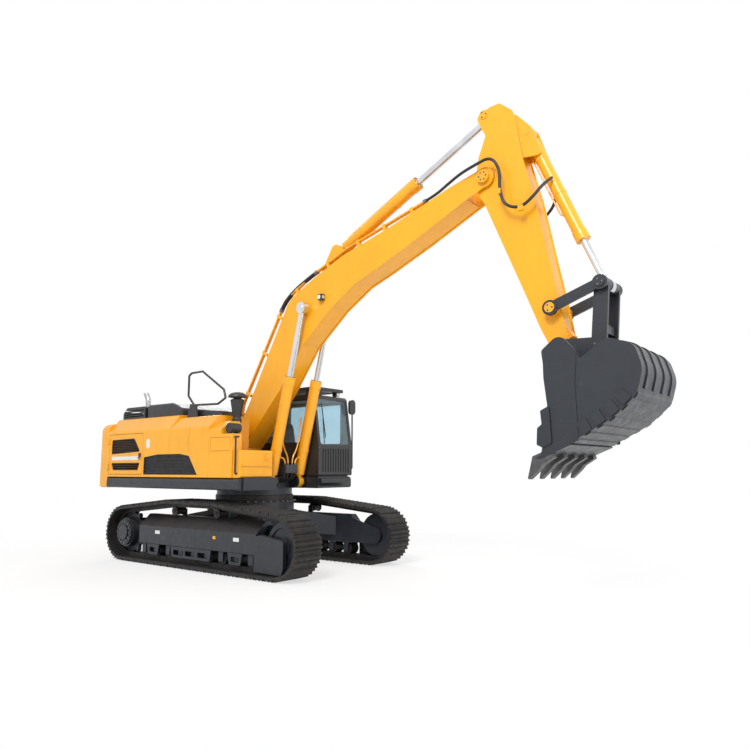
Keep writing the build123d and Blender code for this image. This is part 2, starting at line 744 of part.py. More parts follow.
def hood():
    body = prism(hood_profile(0), -HOOD_HALF, HOOD_HALF)
    body = fillet(body.edges().filter_by(lambda e: e.center().Z > HOUSE_TOP + 100 and abs(
        e.center().Y) > HOOD_HALF - 2), 45)
    body = body - prism(hood_profile(30), 30 - HOOD_HALF, HOOD_HALF - 30)
    for y in HOOD_HINGE_Y:
        body = body + hood_hinge_moving(y)
    handle = tube(
        [(HOOD_REAR + 5, -90, 2960), (HOOD_REAR - 42, -90, 2960), (HOOD_REAR - 42, 90, 2960),
         (HOOD_REAR + 5, 90, 2960)],
        9, 20,
    )
    return body + handle


def rear_louvre():
    """Louvred box over the coolers, behind the hood."""
    front = HOOD_REAR - 70
    top = HOOD_TOP - 20
    box = outline(
        [
            (LOUVRE_REAR, HOUSE_TOP, 0),
            (front, HOUSE_TOP, 0),
            (front, top, 40),
            (LOUVRE_REAR + 140, top, 60),
            (LOUVRE_REAR, top - 120, 60),
        ]
    )
    body = prism(box, -HOOD_HALF, HOOD_HALF)
    body = body - block(LOUVRE_REAR + 40, front - 40, 40 - HOOD_HALF, HOOD_HALF - 40, HOUSE_TOP - 1, top - 60)
    for k in range(8):
        x = front - 100 - k * 72
        body = body - block(x, x + 38, -620, HOOD_HALF - 90, top - 70, top + 10)
    for k in range(4):
        z = HOUSE_TOP + 45 + k * 42
        body = body - block(LOUVRE_REAR + 60, front - 60, -HOOD_HALF - 5, -HOOD_HALF + 45, z, z + 22)
        body = body - block(LOUVRE_REAR + 60, front - 60, HOOD_HALF - 45, HOOD_HALF + 5, z, z + 22)
    return body


def slat_window(corners, y0, y1, pitch, slat):
    """Horizontal slats that fill a window given by its (x, z, radius) corners."""
    face = outline(corners)
    low = min(c[1] for c in corners)
    high = max(c[1] for c in corners)
    x0 = min(c[0] for c in corners)
    x1 = max(c[0] for c in corners)
    frame = face - offset(face, -14)
    bars = [frame]
    count = int((high - low) / pitch)
    for k in range(1, count + 1):
        z = low + (k - 0.5) * (high - low) / count
        bars.append(face & Pos((x0 + x1) / 2, z) * Rectangle(x1 - x0, slat))
    pieces = prism(bars[0], y0, y1)
    for bar in bars[1:]:
        pieces = pieces + prism(bar, y0, y1)
    return pieces


def side_door(span, sign, windows):
    """A house door as thick as the wall, hinged at its rear edge, with its windows cut."""
    y0, y1 = sorted((sign * (HALF_WIDTH - WALL), sign * HALF_WIDTH))
    x0, x1 = span[0] + DOOR_GAP, span[1] - DOOR_GAP
    face = Pos((x0 + x1) / 2, (DOOR_FLOOR + DOOR_TOP) / 2) * RectangleRounded(
        x1 - x0, DOOR_TOP - DOOR_FLOOR - 2 * DOOR_GAP, 25
    )
    for window in windows:
        face = face - offset(outline(window), SEAT)
    door = prism(face, y0, y1)
    for z in HINGE_Z:
        door = door + hinge_moving(span[0], sign * (HALF_WIDTH + HINGE_OUT), z, sign * HALF_WIDTH, 1)
    handle = RectangleRounded(120, 34, 12)
    low, high = sorted((sign * (HALF_WIDTH - 1), sign * (HALF_WIDTH + 14)))
    return door + prism(Pos(x1 - 100, DOOR_FLOOR + 330) * handle, low, high)


def door_grilles(windows, sign):
    y0, y1 = sorted((sign * (HALF_WIDTH - 34), sign * (HALF_WIDTH - 10)))
    return [slat_window(window, y0, y1, 34, 15) for window in windows]


def vent_cut(y0, y1):
    """Tool for the opening low on the right side, which the house shares with the tank."""
    return prism(offset(outline(VENT), SEAT), y0, y1)


def side_vent():
    """Dark ribbed panel low on the right side, across the house and the tank beside it."""
    back = prism(outline(VENT), -HALF_WIDTH + 30, -HALF_WIDTH + WALL)
    bars = slat_window(VENT, -HALF_WIDTH + 8, -HALF_WIDTH + 31, 60, 18)
    return [back + bars]


def tank_profile(top):
    return outline(
        [
            (-HALF_WIDTH, DECK_TOP, 0),
            (TANK_IN, DECK_TOP, 0),
            (TANK_IN, top, 25),
            (-HALF_WIDTH + SHOULDER, top, 60),
            (-HALF_WIDTH, min(HOUSE_SIDE_TOP, top - 150), 60),
        ]
    )


def hydraulic_tank():
    top = FUEL_TOP + TANK_RISE
    body = beam(tank_profile(top), HOUSE_FRONT + 4, TANK_FRONT)
    body = body - vent_cut(-HALF_WIDTH - 5, -HALF_WIDTH + WALL + 5)
    seam = block(-170, -162, -HALF_WIDTH - 5, -HALF_WIDTH + 12, VENT_TOP + 20, HOUSE_TOP)
    return body - seam


def fuel_tank():
    body = beam(tank_profile(FUEL_TOP), TANK_FRONT + 4, FUEL_FRONT)
    shelf = block(FUEL_SHELF_X, FUEL_FRONT + 5, -HALF_WIDTH - 5, TANK_IN + 5, FUEL_SHELF, FUEL_TOP + 5)
    lid = Pos(745, 2240) * RectangleRounded(560, 250, 30)
    groove = prism(lid - offset(lid, -10), -HALF_WIDTH - 5, -HALF_WIDTH + 14)
    side = outline([(TANK_FRONT, TANK_IN + 5, 0), (TANK_FRONT, 630 - HALF_WIDTH, 0),
                    (FUEL_SHELF_X, 420 - HALF_WIDTH, 120), (FUEL_FRONT + 5, 210 - HALF_WIDTH, 0),
                    (FUEL_FRONT + 5, TANK_IN + 5, 0)])
    notch = slab(side, FUEL_LEDGE, FUEL_TOP + 5)
    return body - shelf - groove - notch


def tool_box():
    """Box at the right front corner with a tread plate on top and a lid handle."""
    body = block(FUEL_FRONT + 4, BOX_FRONT, 30 - HALF_WIDTH, BOX_IN, DECK_TOP, BOX_TOP)
    body = fillet(body.edges().filter_by(lambda e: e.center().X > BOX_FRONT - 5), 35)
    ledge = block(FUEL_FRONT + 4, BOX_FRONT + 14, 60 - HALF_WIDTH, BOX_IN - 30, 1850, 1872)
    handle = tube(
        [(BOX_FRONT - 5, -870, 1960), (BOX_FRONT + 40, -870, 1960), (BOX_FRONT + 40, -870, 2060),
         (BOX_FRONT - 5, -870, 2060)], 9, 20)
    return fuse(body, ledge, handle)


def engine_block():
    return block(-2560, -1840, -560, 620, DECK_TOP, 2560)


def handrails():
    """Closed roof rail over the tank on its bracket, and the grab rail at the front corner."""
    y = RAIL_IN - HALF_WIDTH
    loop = tube(
        [(-640, y, 3220), (-640, y, 3620), (-560, y, 3665), (-220, y, 3670), (430, y, 3270),
         (490, y, 3110), (270, y, 3010), (-450, y, 3030)],
        RAIL_TUBE, 28, closed=True)
    top = FUEL_TOP + TANK_RISE
    shape = outline([(-640, top, 0), (-320, top, 0), (-370, 3030, 15), (-560, 3060, 15)])
    bracket = prism(shape, y - 14, y + 14)
    x, out = 1180, -HALF_WIDTH - 12
    grab = tube(
        [(x, out + 42, 1720), (x, out, 1720), (x, out, 2360), (x, out + 72, 2360),
         (FUEL_FRONT, out + 72, 2360)],
        RAIL_TUBE - 5, 20)
    return [loop + bracket, grab]


def catwalk():
    """Dark tread box on top of the hydraulic tank, beside the handrail."""
    top = FUEL_TOP + TANK_RISE
    side = outline([(-700, top, 0), (330, top, 0), (300, top + 95, 30), (-660, top + 150, 30)])
    return prism(side, 370 - HALF_WIDTH, TANK_IN - 80)


def precleaner():
    """Air precleaner with its domed cap on a tapered body, and the filter can beside it."""
    x, y = 560, 520 - HALF_WIDTH
    foot = FUEL_TOP
    profile = Polyline((0, foot), (90, foot), (90, foot + 60), (75, foot + 90), (130, foot + 420),
                       (70, foot + 450), (70, foot + 490), (0, foot + 490), close=True)
    body = revolve(Plane.XZ * make_face(profile), Axis.Z)
    dome = Pos(0, 0, foot + 470) * scale(Sphere(175), (1, 1, 0.62))
    cap = dome & Pos(0, 0, foot + 570) * Box(500, 500, 200)
    can_x = (FUEL_SHELF_X + FUEL_FRONT) / 2 - 20
    can = across((can_x, FUEL_SHELF + 105), 90, 60 - HALF_WIDTH, 280 - HALF_WIDTH)
    for y0 in (90 - HALF_WIDTH, 210 - HALF_WIDTH):
        can = can + block(can_x - 60, can_x + 60, y0, y0 + 40, FUEL_SHELF, FUEL_SHELF + 40)
    return [Pos(x, y, 0) * (body + cap), can]


def exhaust_pipe():
    """Tail pipe with an oblique cut, on top of the louvred box."""
    x, y = LOUVRE_REAR + 370, 350 - HOOD_HALF
    foot = HOOD_TOP - 20
    pipe = tube([(x, y, foot), (x, y, foot + 190), (x - 110, y, foot + 370)], 58, 130)
    bore = tube([(x, y, foot + 25), (x, y, foot + 190), (x - 120, y, foot + 386)], 52, 130)
    cutter = block(x - 350, x + 100, y - 150, y + 150, foot + 345, foot + 500)
    flange = slab(Pos(x, y) * (Circle(85) - Circle(55)), foot, foot + 18)
    return (pipe - bore - cutter) + flange


# Cab


def cab_profile(inset):
    return outline(
        [
            (CAB_REAR + inset, CAB_FLOOR + inset, 30),
            (CAB_FRONT - inset, CAB_FLOOR + inset, 30),
            (CAB_FRONT - inset, SILL - 30, 60),
            (CAB_BROW + 25 - inset, CAB_ROOF - inset, 100),
            (CAB_REAR + inset, CAB_ROOF - inset, 80),
        ]
    )


def window_side(x0, x1, z0, z1):
    return Pos((x0 + x1) / 2, (z0 + z1) / 2) * RectangleRounded(x1 - x0, z1 - z0, 50)


def front_pane():
    """The windscreen's opening as a (left, up) drawing."""
    middle = (CAB_LEFT + CAB_RIGHT) / 2
    width = CAB_LEFT - CAB_RIGHT - 130
    return Pos(middle, (SILL + PANE_TOP) / 2) * RectangleRounded(width, PANE_TOP - SILL, 50)


def rear_pane():
    middle = (CAB_LEFT + CAB_RIGHT) / 2
    return Pos(middle, PANE_TOP - 370) * RectangleRounded(CAB_LEFT - CAB_RIGHT - 160, 640, 50)


def side_windows():
    return window_side(-540, 960, SILL + 30, PANE_TOP - 20)


def left_window():
    return window_side(-540, -10, SILL + 30, PANE_TOP - 20)


def cab_shell():
    body = prism(cab_profile(0), CAB_RIGHT, CAB_LEFT)
    body = body - prism(cab_profile(CAB_WALL), CAB_RIGHT + CAB_WALL, CAB_LEFT - CAB_WALL)
    body = body - prism(side_windows(), CAB_RIGHT - 5, CAB_RIGHT + CAB_WALL + 5)
    left = (CAB_LEFT - CAB_WALL - 5, CAB_LEFT + 5)
    body = body - prism(left_window(), *left)
    body = body - block(*DOOR_X, *left, *DOOR_Z)
    body = body - beam(front_pane(), CAB_BROW - 80, CAB_FRONT + 10)
    body = body - beam(rear_pane(), CAB_REAR - 5, CAB_REAR + CAB_WALL + 5)
    for k in range(11):
        y = CAB_RIGHT + 110 + k * 76
        body = body - block(CAB_FRONT - 12, CAB_FRONT + 5, y, y + 34, CAB_FLOOR + 70, SILL - 90)
    for z in (1900.0, 3000.0):
        body = body + hinge_fixed(DOOR_X[0], CAB_LEFT + HINGE_OUT, z, CAB_LEFT)
    base = slab(Pos((CAB_REAR + CAB_FRONT) / 2, (CAB_LEFT + CAB_RIGHT) / 2) * Rectangle(
        CAB_FRONT - CAB_REAR - 120, CAB_LEFT - CAB_RIGHT - 120), DECK_TOP, CAB_FLOOR + 10)
    return body + base


def cab_step():
    """Tread plate along the deck's front edge, under the cab."""
    shape = outline([(DECK_FRONT, 1470, 0), (DECK_FRONT + 60, 1530, 15), (DECK_FRONT + 60, 1610, 15),
                     (DECK_FRONT, 1630, 0)])
    plate = prism(shape, CAB_RIGHT + 20, HALF_WIDTH - RAIL_BODY - 10)
    for k in range(5):
        y = CAB_RIGHT + 90 + k * 160
        plate = plate - block(DECK_FRONT + 10, DECK_FRONT + 46, y, y + 110, 1560, 1640)
    return plate


def cab_glass():
    right = prism(offset(side_windows(), -SEAT), CAB_RIGHT + 12, CAB_RIGHT + 12 + GLASS)
    left = prism(offset(left_window(), -SEAT), CAB_LEFT - 12 - GLASS, CAB_LEFT - 12)
    rear = beam(offset(rear_pane(), -SEAT), CAB_REAR + 12, CAB_REAR + 12 + GLASS)
    sheet = cab_profile(15) - cab_profile(15 + GLASS)
    pane = offset(front_pane(), -SEAT)
    front = prism(sheet, CAB_RIGHT, CAB_LEFT) & beam(pane, CAB_BROW - 60, CAB_FRONT + 10)
    return [right, left, rear, front]


def cab_door():
    x0, x1 = DOOR_X[0] + DOOR_GAP, DOOR_X[1] - DOOR_GAP
    z0, z1 = DOOR_Z[0] + DOOR_GAP, DOOR_Z[1] - DOOR_GAP
    face = Pos((x0 + x1) / 2, (z0 + z1) / 2) * RectangleRounded(x1 - x0, z1 - z0, 30)
    face = face - window_side(*DOOR_UPPER) - window_side(*DOOR_LOWER)
    door = prism(face, CAB_LEFT - CAB_WALL, CAB_LEFT)
    for z in (1900.0, 3000.0):
        door = door + hinge_moving(DOOR_X[0], CAB_LEFT + HINGE_OUT, z, CAB_LEFT, 1)
    handle = tube([(1018, CAB_LEFT - 2, 2150), (1018, CAB_LEFT + 40, 2150), (1018, CAB_LEFT + 40, 2330),
                   (1018, CAB_LEFT - 2, 2330)], 10, 20)
    return door + handle


def cab_door_glass():
    panes = []
    for window in (DOOR_UPPER, DOOR_LOWER):
        panes.append(prism(offset(window_side(*window), -SEAT), CAB_LEFT - 22 - GLASS, CAB_LEFT - 22))
    return panes


def operator_seat():
    middle = (CAB_LEFT + CAB_RIGHT) / 2
    floor = CAB_FLOOR + CAB_WALL
    base = block(-120, 330, middle - 220, middle + 220, floor, floor + 330)
    cushion = fillet(block(-150, 380, middle - 260, middle + 260, floor + 330, floor + 460).edges(), 35)
    back = prism(outline([(-190, floor + 470, 0), (-40, floor + 440, 0), (-170, floor + 1080, 50),
                          (-290, floor + 1060, 50)]), middle - 250, middle + 250)
    head = fillet(block(-300, -200, middle - 140, middle + 140, floor + 1010, floor + 1240).edges(), 30)
    return fuse(base, cushion, back, head)


def control_stand():
    middle = (CAB_LEFT + CAB_RIGHT) / 2
    floor = CAB_FLOOR + CAB_WALL
    solids = []
    for sign in (-1, 1):
        y = middle + sign * 350
        box = block(-100, 330, y - 60, y + 60, floor, floor + 620)
        lever = Pos(300, y, floor + 720) * Cylinder(18, 220)
        knob = Pos(300, y, floor + 840) * Sphere(34)
        solids.append(fuse(box, lever, knob))
    for sign in (-1, 1):
        y = middle + sign * 110
        pedal = block(820, 980, y - 60, y + 60, floor, floor + 70)
        lever = tube([(900, y, floor + 60), (900, y, floor + 300), (760, y, floor + 560)], 14, 60)
        solids.append(pedal + lever)
    screen = block(1010, 1050, CAB_RIGHT + CAB_WALL, CAB_RIGHT + 250, 2350, 2560)
    post = block(1015, 1045, CAB_RIGHT + 100, CAB_RIGHT + 150, floor, 2351)
    return solids + [screen + post]


def roof_guard():
    """Slatted guard on stays over the roof, with the work lamps' bar at its front."""
    z0, z1 = CAB_ROOF + GUARD_LIFT, CAB_ROOF + GUARD_LIFT + 65
    y0, y1 = CAB_RIGHT + 70, CAB_LEFT - 70
    frame = block(-480, 1080, y0, y1, z0, z1) - block(-430, 930, y0 + 50, y1 - 50, z0 - 1, z1 + 1)
    for k in range(9):
        x = -400 + k * 155
        frame = frame + block(x, x + 60, y0 + 40, y1 - 40, z0 + 5, z1 - 5)
    for x in (-380, 860):
        for y in (y0 + 25, y1 - 25):
            frame = frame + block(x - 30, x + 30, y - 20, y + 20, CAB_ROOF, z0 + 5)
    return frame


def work_lamps():
    """Work lamps hung under the front edge of the roof guard."""
    lamps = []
    for y in (CAB_RIGHT + 190, CAB_LEFT - 190):
        body = block(940, 1030, y - 60, y + 60, CAB_ROOF + 22, CAB_ROOF + GUARD_LIFT)
        lamps.append(body + block(1030, 1040, y - 52, y + 52, CAB_ROOF + 30, CAB_ROOF + GUARD_LIFT - 8))
    return lamps


def mirrors():
    """Stays and mirrors at the cab's left front and the right front corner."""
    left = tube([(1225, CAB_LEFT, 1800), (1225, CAB_LEFT + 60, 1800), (1225, CAB_LEFT + 60, 3200)], 16, 40)
    pane = beam(Pos(CAB_LEFT + 50, 3085) * RectangleRounded(180, 310, 85), 1200, 1250)
    return left + pane


# Boom, arm and bucket


def boom_side(inset):
    tip_x, tip_z = BOOM_TIP
    body = outline(BOOM_TOP + [(tip_x, tip_z + 160, 0), (tip_x, tip_z - 160, 0)] + BOOM_BELLY + [
        (-300, 2150, 0)])
    body = offset(body, -inset) if inset else body
    return body


def boom():
    """Box section boom: side plates, a core set in between them, a foot boss and a fork."""
    y = BOOM_HALF
    core = prism(boom_side(18), BOOM_PLATE - y, y - BOOM_PLATE)
    side = boom_side(0)
    tip = Pos(*BOOM_TIP) * Circle(160)
    foot = Pos(*BOOM_FOOT) * Circle(200)
    plate = side + tip + foot
    body = core
    for y0, y1 in ((-y, BOOM_PLATE - y), (y - BOOM_PLATE, y)):
        body = body + prism(plate, y0, y1)
    for y0, y1 in ((-y, FORK_PLATE - y), (y - FORK_PLATE, y)):
        body = body + prism(tip, y0, y1)
    slot = across(BOOM_TIP, FORK_REACH, FORK_PLATE - y, y - FORK_PLATE)
    body = body - slot + across(BOOM_TIP, PIN + 10, -y, y)
    body = body + across(BOOM_FOOT, 200, -y, y)
    body = body - across(BOOM_FOOT, PIN + 15 + SEAT, -y - 1, y + 1)
    for piece in both(across(LIFT_EYE, 130, y - 5, LIFT_Y - EYE_HALF - 12)):
        body = body + piece
    for piece in both(across(BOOM_TIP, 95, y - 1, y + 30)):
        body = body + piece
    for piece in both(prism(wrapped((2550, 5690, 60), (*ARM_BASE, 110), (1950, 5440, 60)),
                            ARM_BARREL + 17, ARM_BARREL + 17 + LUG_PLATE)):
        body = body + piece
    pin = across(ARM_BASE, PIN, -ARM_BARREL - 50, ARM_BARREL + 50)
    return body + pin


def pipe_clamp(run, share):
    """Clamp block under the pipes, seated on the boom's top plate."""
    (x0, z0), (x1, z1) = PIPE_RUN[run], PIPE_RUN[run + 1]
    lean = degrees(atan2(z1 - z0, x1 - x0))
    spot = Pos(x0 + share * (x1 - x0), z0 + share * (z1 - z0)) * Rot(0, 0, lean)
    face = spot * Pos(0, -55) * Rectangle(60, 160)
    return prism(face - boom_side(0), 162, 244)


def boom_pipes():
    """Four hard pipes along the top of the boom, on clamps."""
    solids = []
    for sign in (-1, 1):
        pipes = [tube([(x, y, z) for x, z in PIPE_RUN], 19, 180) for y in (178, 222)]
        side = fuse(*pipes, *[pipe_clamp(*place) for place in PIPE_CLAMPS])
        solids.append(side if sign > 0 else mirror(side, about=Plane.XZ))
    return solids


def boom_lamp():
    return fuse(block(1980, 2080, -BOOM_HALF - 90, -BOOM_HALF - 12, 4900, 5010),
                block(1960, 1981, -BOOM_HALF - 60, -BOOM_HALF, 4930, 4980),
                block(1960, 2000, -BOOM_HALF - 60, -BOOM_HALF - 20, 4930, 4980))


def aim(base, eye):
    """Unit vector and length from a cylinder's base pin to its rod eye."""
    run = hypot(eye[0] - base[0], eye[1] - base[1])
    return ((eye[0] - base[0]) / run, (eye[1] - base[1]) / run), run


def bar(base, direction, start, stop, radius, y):
    """Round bar along a cylinder's axis, from start to stop millimetres past its base pin."""
    plane = Plane(origin=(base[0] + direction[0] * start, y, base[1] + direction[1] * start),
                  z_dir=(direction[0], 0, direction[1]))
    return extrude(plane * Circle(radius), amount=stop - start)


def barrel(base, eye, y, radius, rod, length):
    direction, run = aim(base, eye)
    body = fuse(
        across(base, radius + 5, y - EYE_HALF, y + EYE_HALF),
        bar(base, direction, 60, NECK + 10, EYE_HALF - 2, y),
        bar(base, direction, NECK, length - 120, radius, y),
        bar(base, direction, length - 150, length, radius + 12, y),
    )
    body = body - bar(base, direction, NECK + 20, length - 100, radius - 16, y)
    body = body - bar(base, direction, length - 101, length + 1, rod + SEAT, y)
    return body - across(base, PIN + SEAT, y - EYE_HALF - 1, y + EYE_HALF + 1)


def rod(base, eye, y, radius, reach, eye_radius):
    direction, run = aim(base, eye)
    return fuse(
        across(eye, eye_radius, y - EYE_HALF, y + EYE_HALF),
        bar(base, direction, run - reach, run - 20, radius, y),
        across(eye, PIN, y - EYE_HALF - 4, y + EYE_HALF + 4),
    )


def boom_cylinder_barrels():
    one = barrel(LIFT_BASE, LIFT_EYE, LIFT_Y, LIFT_BARREL, LIFT_ROD, 2010)
    direction, run = aim(LIFT_BASE, LIFT_EYE)
    side = (-direction[1], direction[0])
    pipe_base = (LIFT_BASE[0] + side[0] * 122, LIFT_BASE[1] + side[1] * 122)
    pipe = bar(pipe_base, direction, 380, 1830, 15, LIFT_Y)
    for start in (370, 1810):
        block_base = (LIFT_BASE[0] + side[0] * 60, LIFT_BASE[1] + side[1] * 60)
        clip_end = (LIFT_BASE[0] + side[0] * 118, LIFT_BASE[1] + side[1] * 118)
        clip = wrapped_clip(block_base, clip_end, direction, start)
        pipe = pipe + prism(clip, LIFT_Y - 22, LIFT_Y + 22)
    return both(one + pipe)


def wrapped_clip(first, second, direction, start):
    """Small bracket face between two lines that run along direction, start past their origins."""
    a = (first[0] + direction[0] * start, first[1] + direction[1] * start)
    b = (second[0] + direction[0] * start, second[1] + direction[1] * start)
    c = (b[0] + direction[0] * 50, b[1] + direction[1] * 50)
    d = (a[0] + direction[0] * 50, a[1] + direction[1] * 50)
    return closed_face([a, b, c, d])


def boom_cylinder_rods():
    return both(rod(LIFT_BASE, LIFT_EYE, LIFT_Y, LIFT_ROD, 2010, 110))


def arm():
    y = ARM_HALF
    face = outline(ARM_SIDE)
    face = face + Pos(*BUCKET_PIN) * Circle(150) + Pos(*BOOM_TIP) * Circle(185)
    core = offset(outline(ARM_SIDE), -18)
    body = prism(core, 24 - y, y - 24)
    for y0, y1 in ((-y, 24 - y), (y - 24, y)):
        body = body + prism(face, y0, y1)
    body = body + across(BUCKET_PIN, 150, -y, y) + across(BOOM_TIP, 185, -y, y)
    body = body - across(ARM_EYE, 460, -EYE_HALF - 12, EYE_HALF + 12)
    body = body - across(BOOM_TIP, PIN + 10 + SEAT, -y - 1, y + 1)
    body = body - across(BUCKET_PIN, PIN + SEAT, -y - 1, y + 1)
    lug = wrapped((6300, 6560, 60), (*CURL_BASE, 105), (5960, 7200, 60), (5960, 6600, 60))
    body = body - across(CURL_BASE, 190, -EYE_HALF - 7, EYE_HALF + 7)
    inner = CURL_BARREL + 17
    for piece in both(prism(lug, inner, inner + LUG_PLATE)):
        body = body + piece
    body = body + across(CURL_BASE, PIN, -inner - LUG_PLATE - 5, inner + LUG_PLATE + 5)
    body = body + across(LINK_PIVOT, PIN, -322, 322)
    for piece in both(across(LINK_PIVOT, 110, y - 1, 257)):
        body = body + piece
    stop = prism(outline([(6620, 3800, 0), (6720, 3670, 15), (6690, 3640, 15), (6620, 3660, 0)]), -90, 90)
    return body + stop


def arm_cylinder_barrel():
    return barrel(ARM_BASE, ARM_EYE, 0, ARM_BARREL, ARM_ROD, 2000)


def arm_cylinder_rod():
    return rod(ARM_BASE, ARM_EYE, 0, ARM_ROD, 2180, 112)


def bucket_cylinder_barrel():
    return barrel(CURL_BASE, LINK_HEAD, 0, CURL_BARREL, CURL_ROD, 2020)


def bucket_cylinder_rod():
    return rod(CURL_BASE, LINK_HEAD, 0, CURL_ROD, 2230, 105)


def side_links():
    """The two guide links, each with a boss at either end."""
    plate = wrapped((*LINK_HEAD, 70), (*LINK_PIVOT, 75))
    link = prism(plate, LINK_IN, LINK_OUT)
    link = link + across(LINK_HEAD, 105, LINK_IN, LINK_OUT + 12)
    link = link + across(LINK_PIVOT, 110, LINK_IN, LINK_OUT + 12)
    link = link - across(LINK_PIVOT, PIN + SEAT, LINK_IN - 1, LINK_OUT + 13)
    return both(link)


def h_link():
    """Bucket link: two side plates outside the arm's width, tied by a web and a lower boss."""
    plate = wrapped((*BUCKET_LINK_PIN, 105), (*LINK_HEAD, 100))
    side = prism(plate, 197, 250)
    side = side + across(LINK_HEAD, 100, 80, LINK_IN - 6)
    body = fuse(*both(side))
    body = body + block(7110, 7210, -220, 220, 3640, 3760) + across(BUCKET_LINK_PIN, 105, -250, 250)
    return body - across(BUCKET_LINK_PIN, PIN + 2, -251, 251)


def bucket_wear(body):
    """Cutters on the side edges, blocks on the lower corners, bars and straps on the back."""
    cutter = outline([(6520, 2070, 20), (6440, 2110, 20), (6455, 2330, 20), (6520, 2380, 20),
                      (6505, 2560, 20), (6630, 2620, 20), (6650, 2130, 20)])
    for piece in both(prism(cutter, BUCKET_HALF - 5, BUCKET_HALF + 22)):
        body = body + piece
    for x, z, lean in ((7090, 2330, 28), (7270, 2435, 30), (7440, 2545, 36), (7590, 2680, 46)):
        face = Pos(x, z) * Rot(0, 0, lean) * RectangleRounded(140, 170, 15)
        for piece in both(prism(face, BUCKET_HALF - 2, BUCKET_HALF + 22)):
            body = body + piece
    seam = outline([(6960, 2140, 0), (7010, 2150, 0), (6990, 2900, 0), (7030, 3330, 0), (6990, 3340, 0),
                    (6950, 2900, 0)])
    for piece in both(prism(seam, BUCKET_HALF - 2, BUCKET_HALF + 9)):
        body = body + piece
    skin = outline(BUCKET_OUT + BUCKET_EDGE)
    strap = offset(skin, 18) - skin
    upper = strap & Pos(7660, 3100) * Rectangle(600, 640)
    for y in (-560, -190, 190, 560):
        body = body + prism(upper, y - 45, y + 45)
    for x, z in ((6960, 2150), (7120, 2240), (7280, 2330), (7440, 2425), (7600, 2560), (7730, 2720)):
        bar = (offset(skin, 14) - skin) & Pos(x, z) * Rectangle(75, 140)
        body = body + prism(bar, 30 - BUCKET_HALF, BUCKET_HALF - 30)
    return body


def bucket():
    """Bucket shell with side plates, ears, cutters and wear plates."""
    full = outline(BUCKET_OUT + BUCKET_EDGE)
    hollow = offset(full, -32) + outline(
        [(6300, 3198, 0), (6600, 3198, 0), (6640, 2600, 0), (6540, 2000, 0), (6300, 1900, 0)])
    side = full + outline(SIDE_TOP + [(7060, 3205, 0), (6560, 3190, 0)])
    body = prism(full - hollow, 40 - BUCKET_HALF, BUCKET_HALF - 40)
    for y0, y1 in ((-BUCKET_HALF, 40 - BUCKET_HALF), (BUCKET_HALF - 40, BUCKET_HALF)):
        body = body + prism(side, y0, y1)
    ear = wrapped((7420, 3260, 60), (*BUCKET_LINK_PIN, 130), (*BUCKET_PIN, 140), (6600, 3190, 40))
    for piece in both(prism(ear, 262, 322)):
        body = body + piece
    body = body + across(BUCKET_PIN, PIN, -322, 322) + across(BUCKET_LINK_PIN, PIN, -322, 322)
    body = body + prism(outline(LIP), -BUCKET_HALF, BUCKET_HALF)
    return bucket_wear(body)


def bucket_teeth():
    """Five adapters with their teeth on the bucket's lip."""
    side = outline([(6640, 2010, 0), (6560, 2040, 0), (6360, 1960, 0), (6285, 1672, 0), (6300, 1655, 0),
                    (6430, 1770, 0), (6500, 1850, 0), (6660, 1945, 0)])
    face = side - outline(LIP) - outline(BUCKET_OUT + BUCKET_EDGE)
    teeth = []
    for k in range(TEETH):
        y = -(BUCKET_HALF - 70) + k * 2 * (BUCKET_HALF - 70) / (TEETH - 1)
        teeth.append(prism(face, y - 62, y + 62))
    return teeth


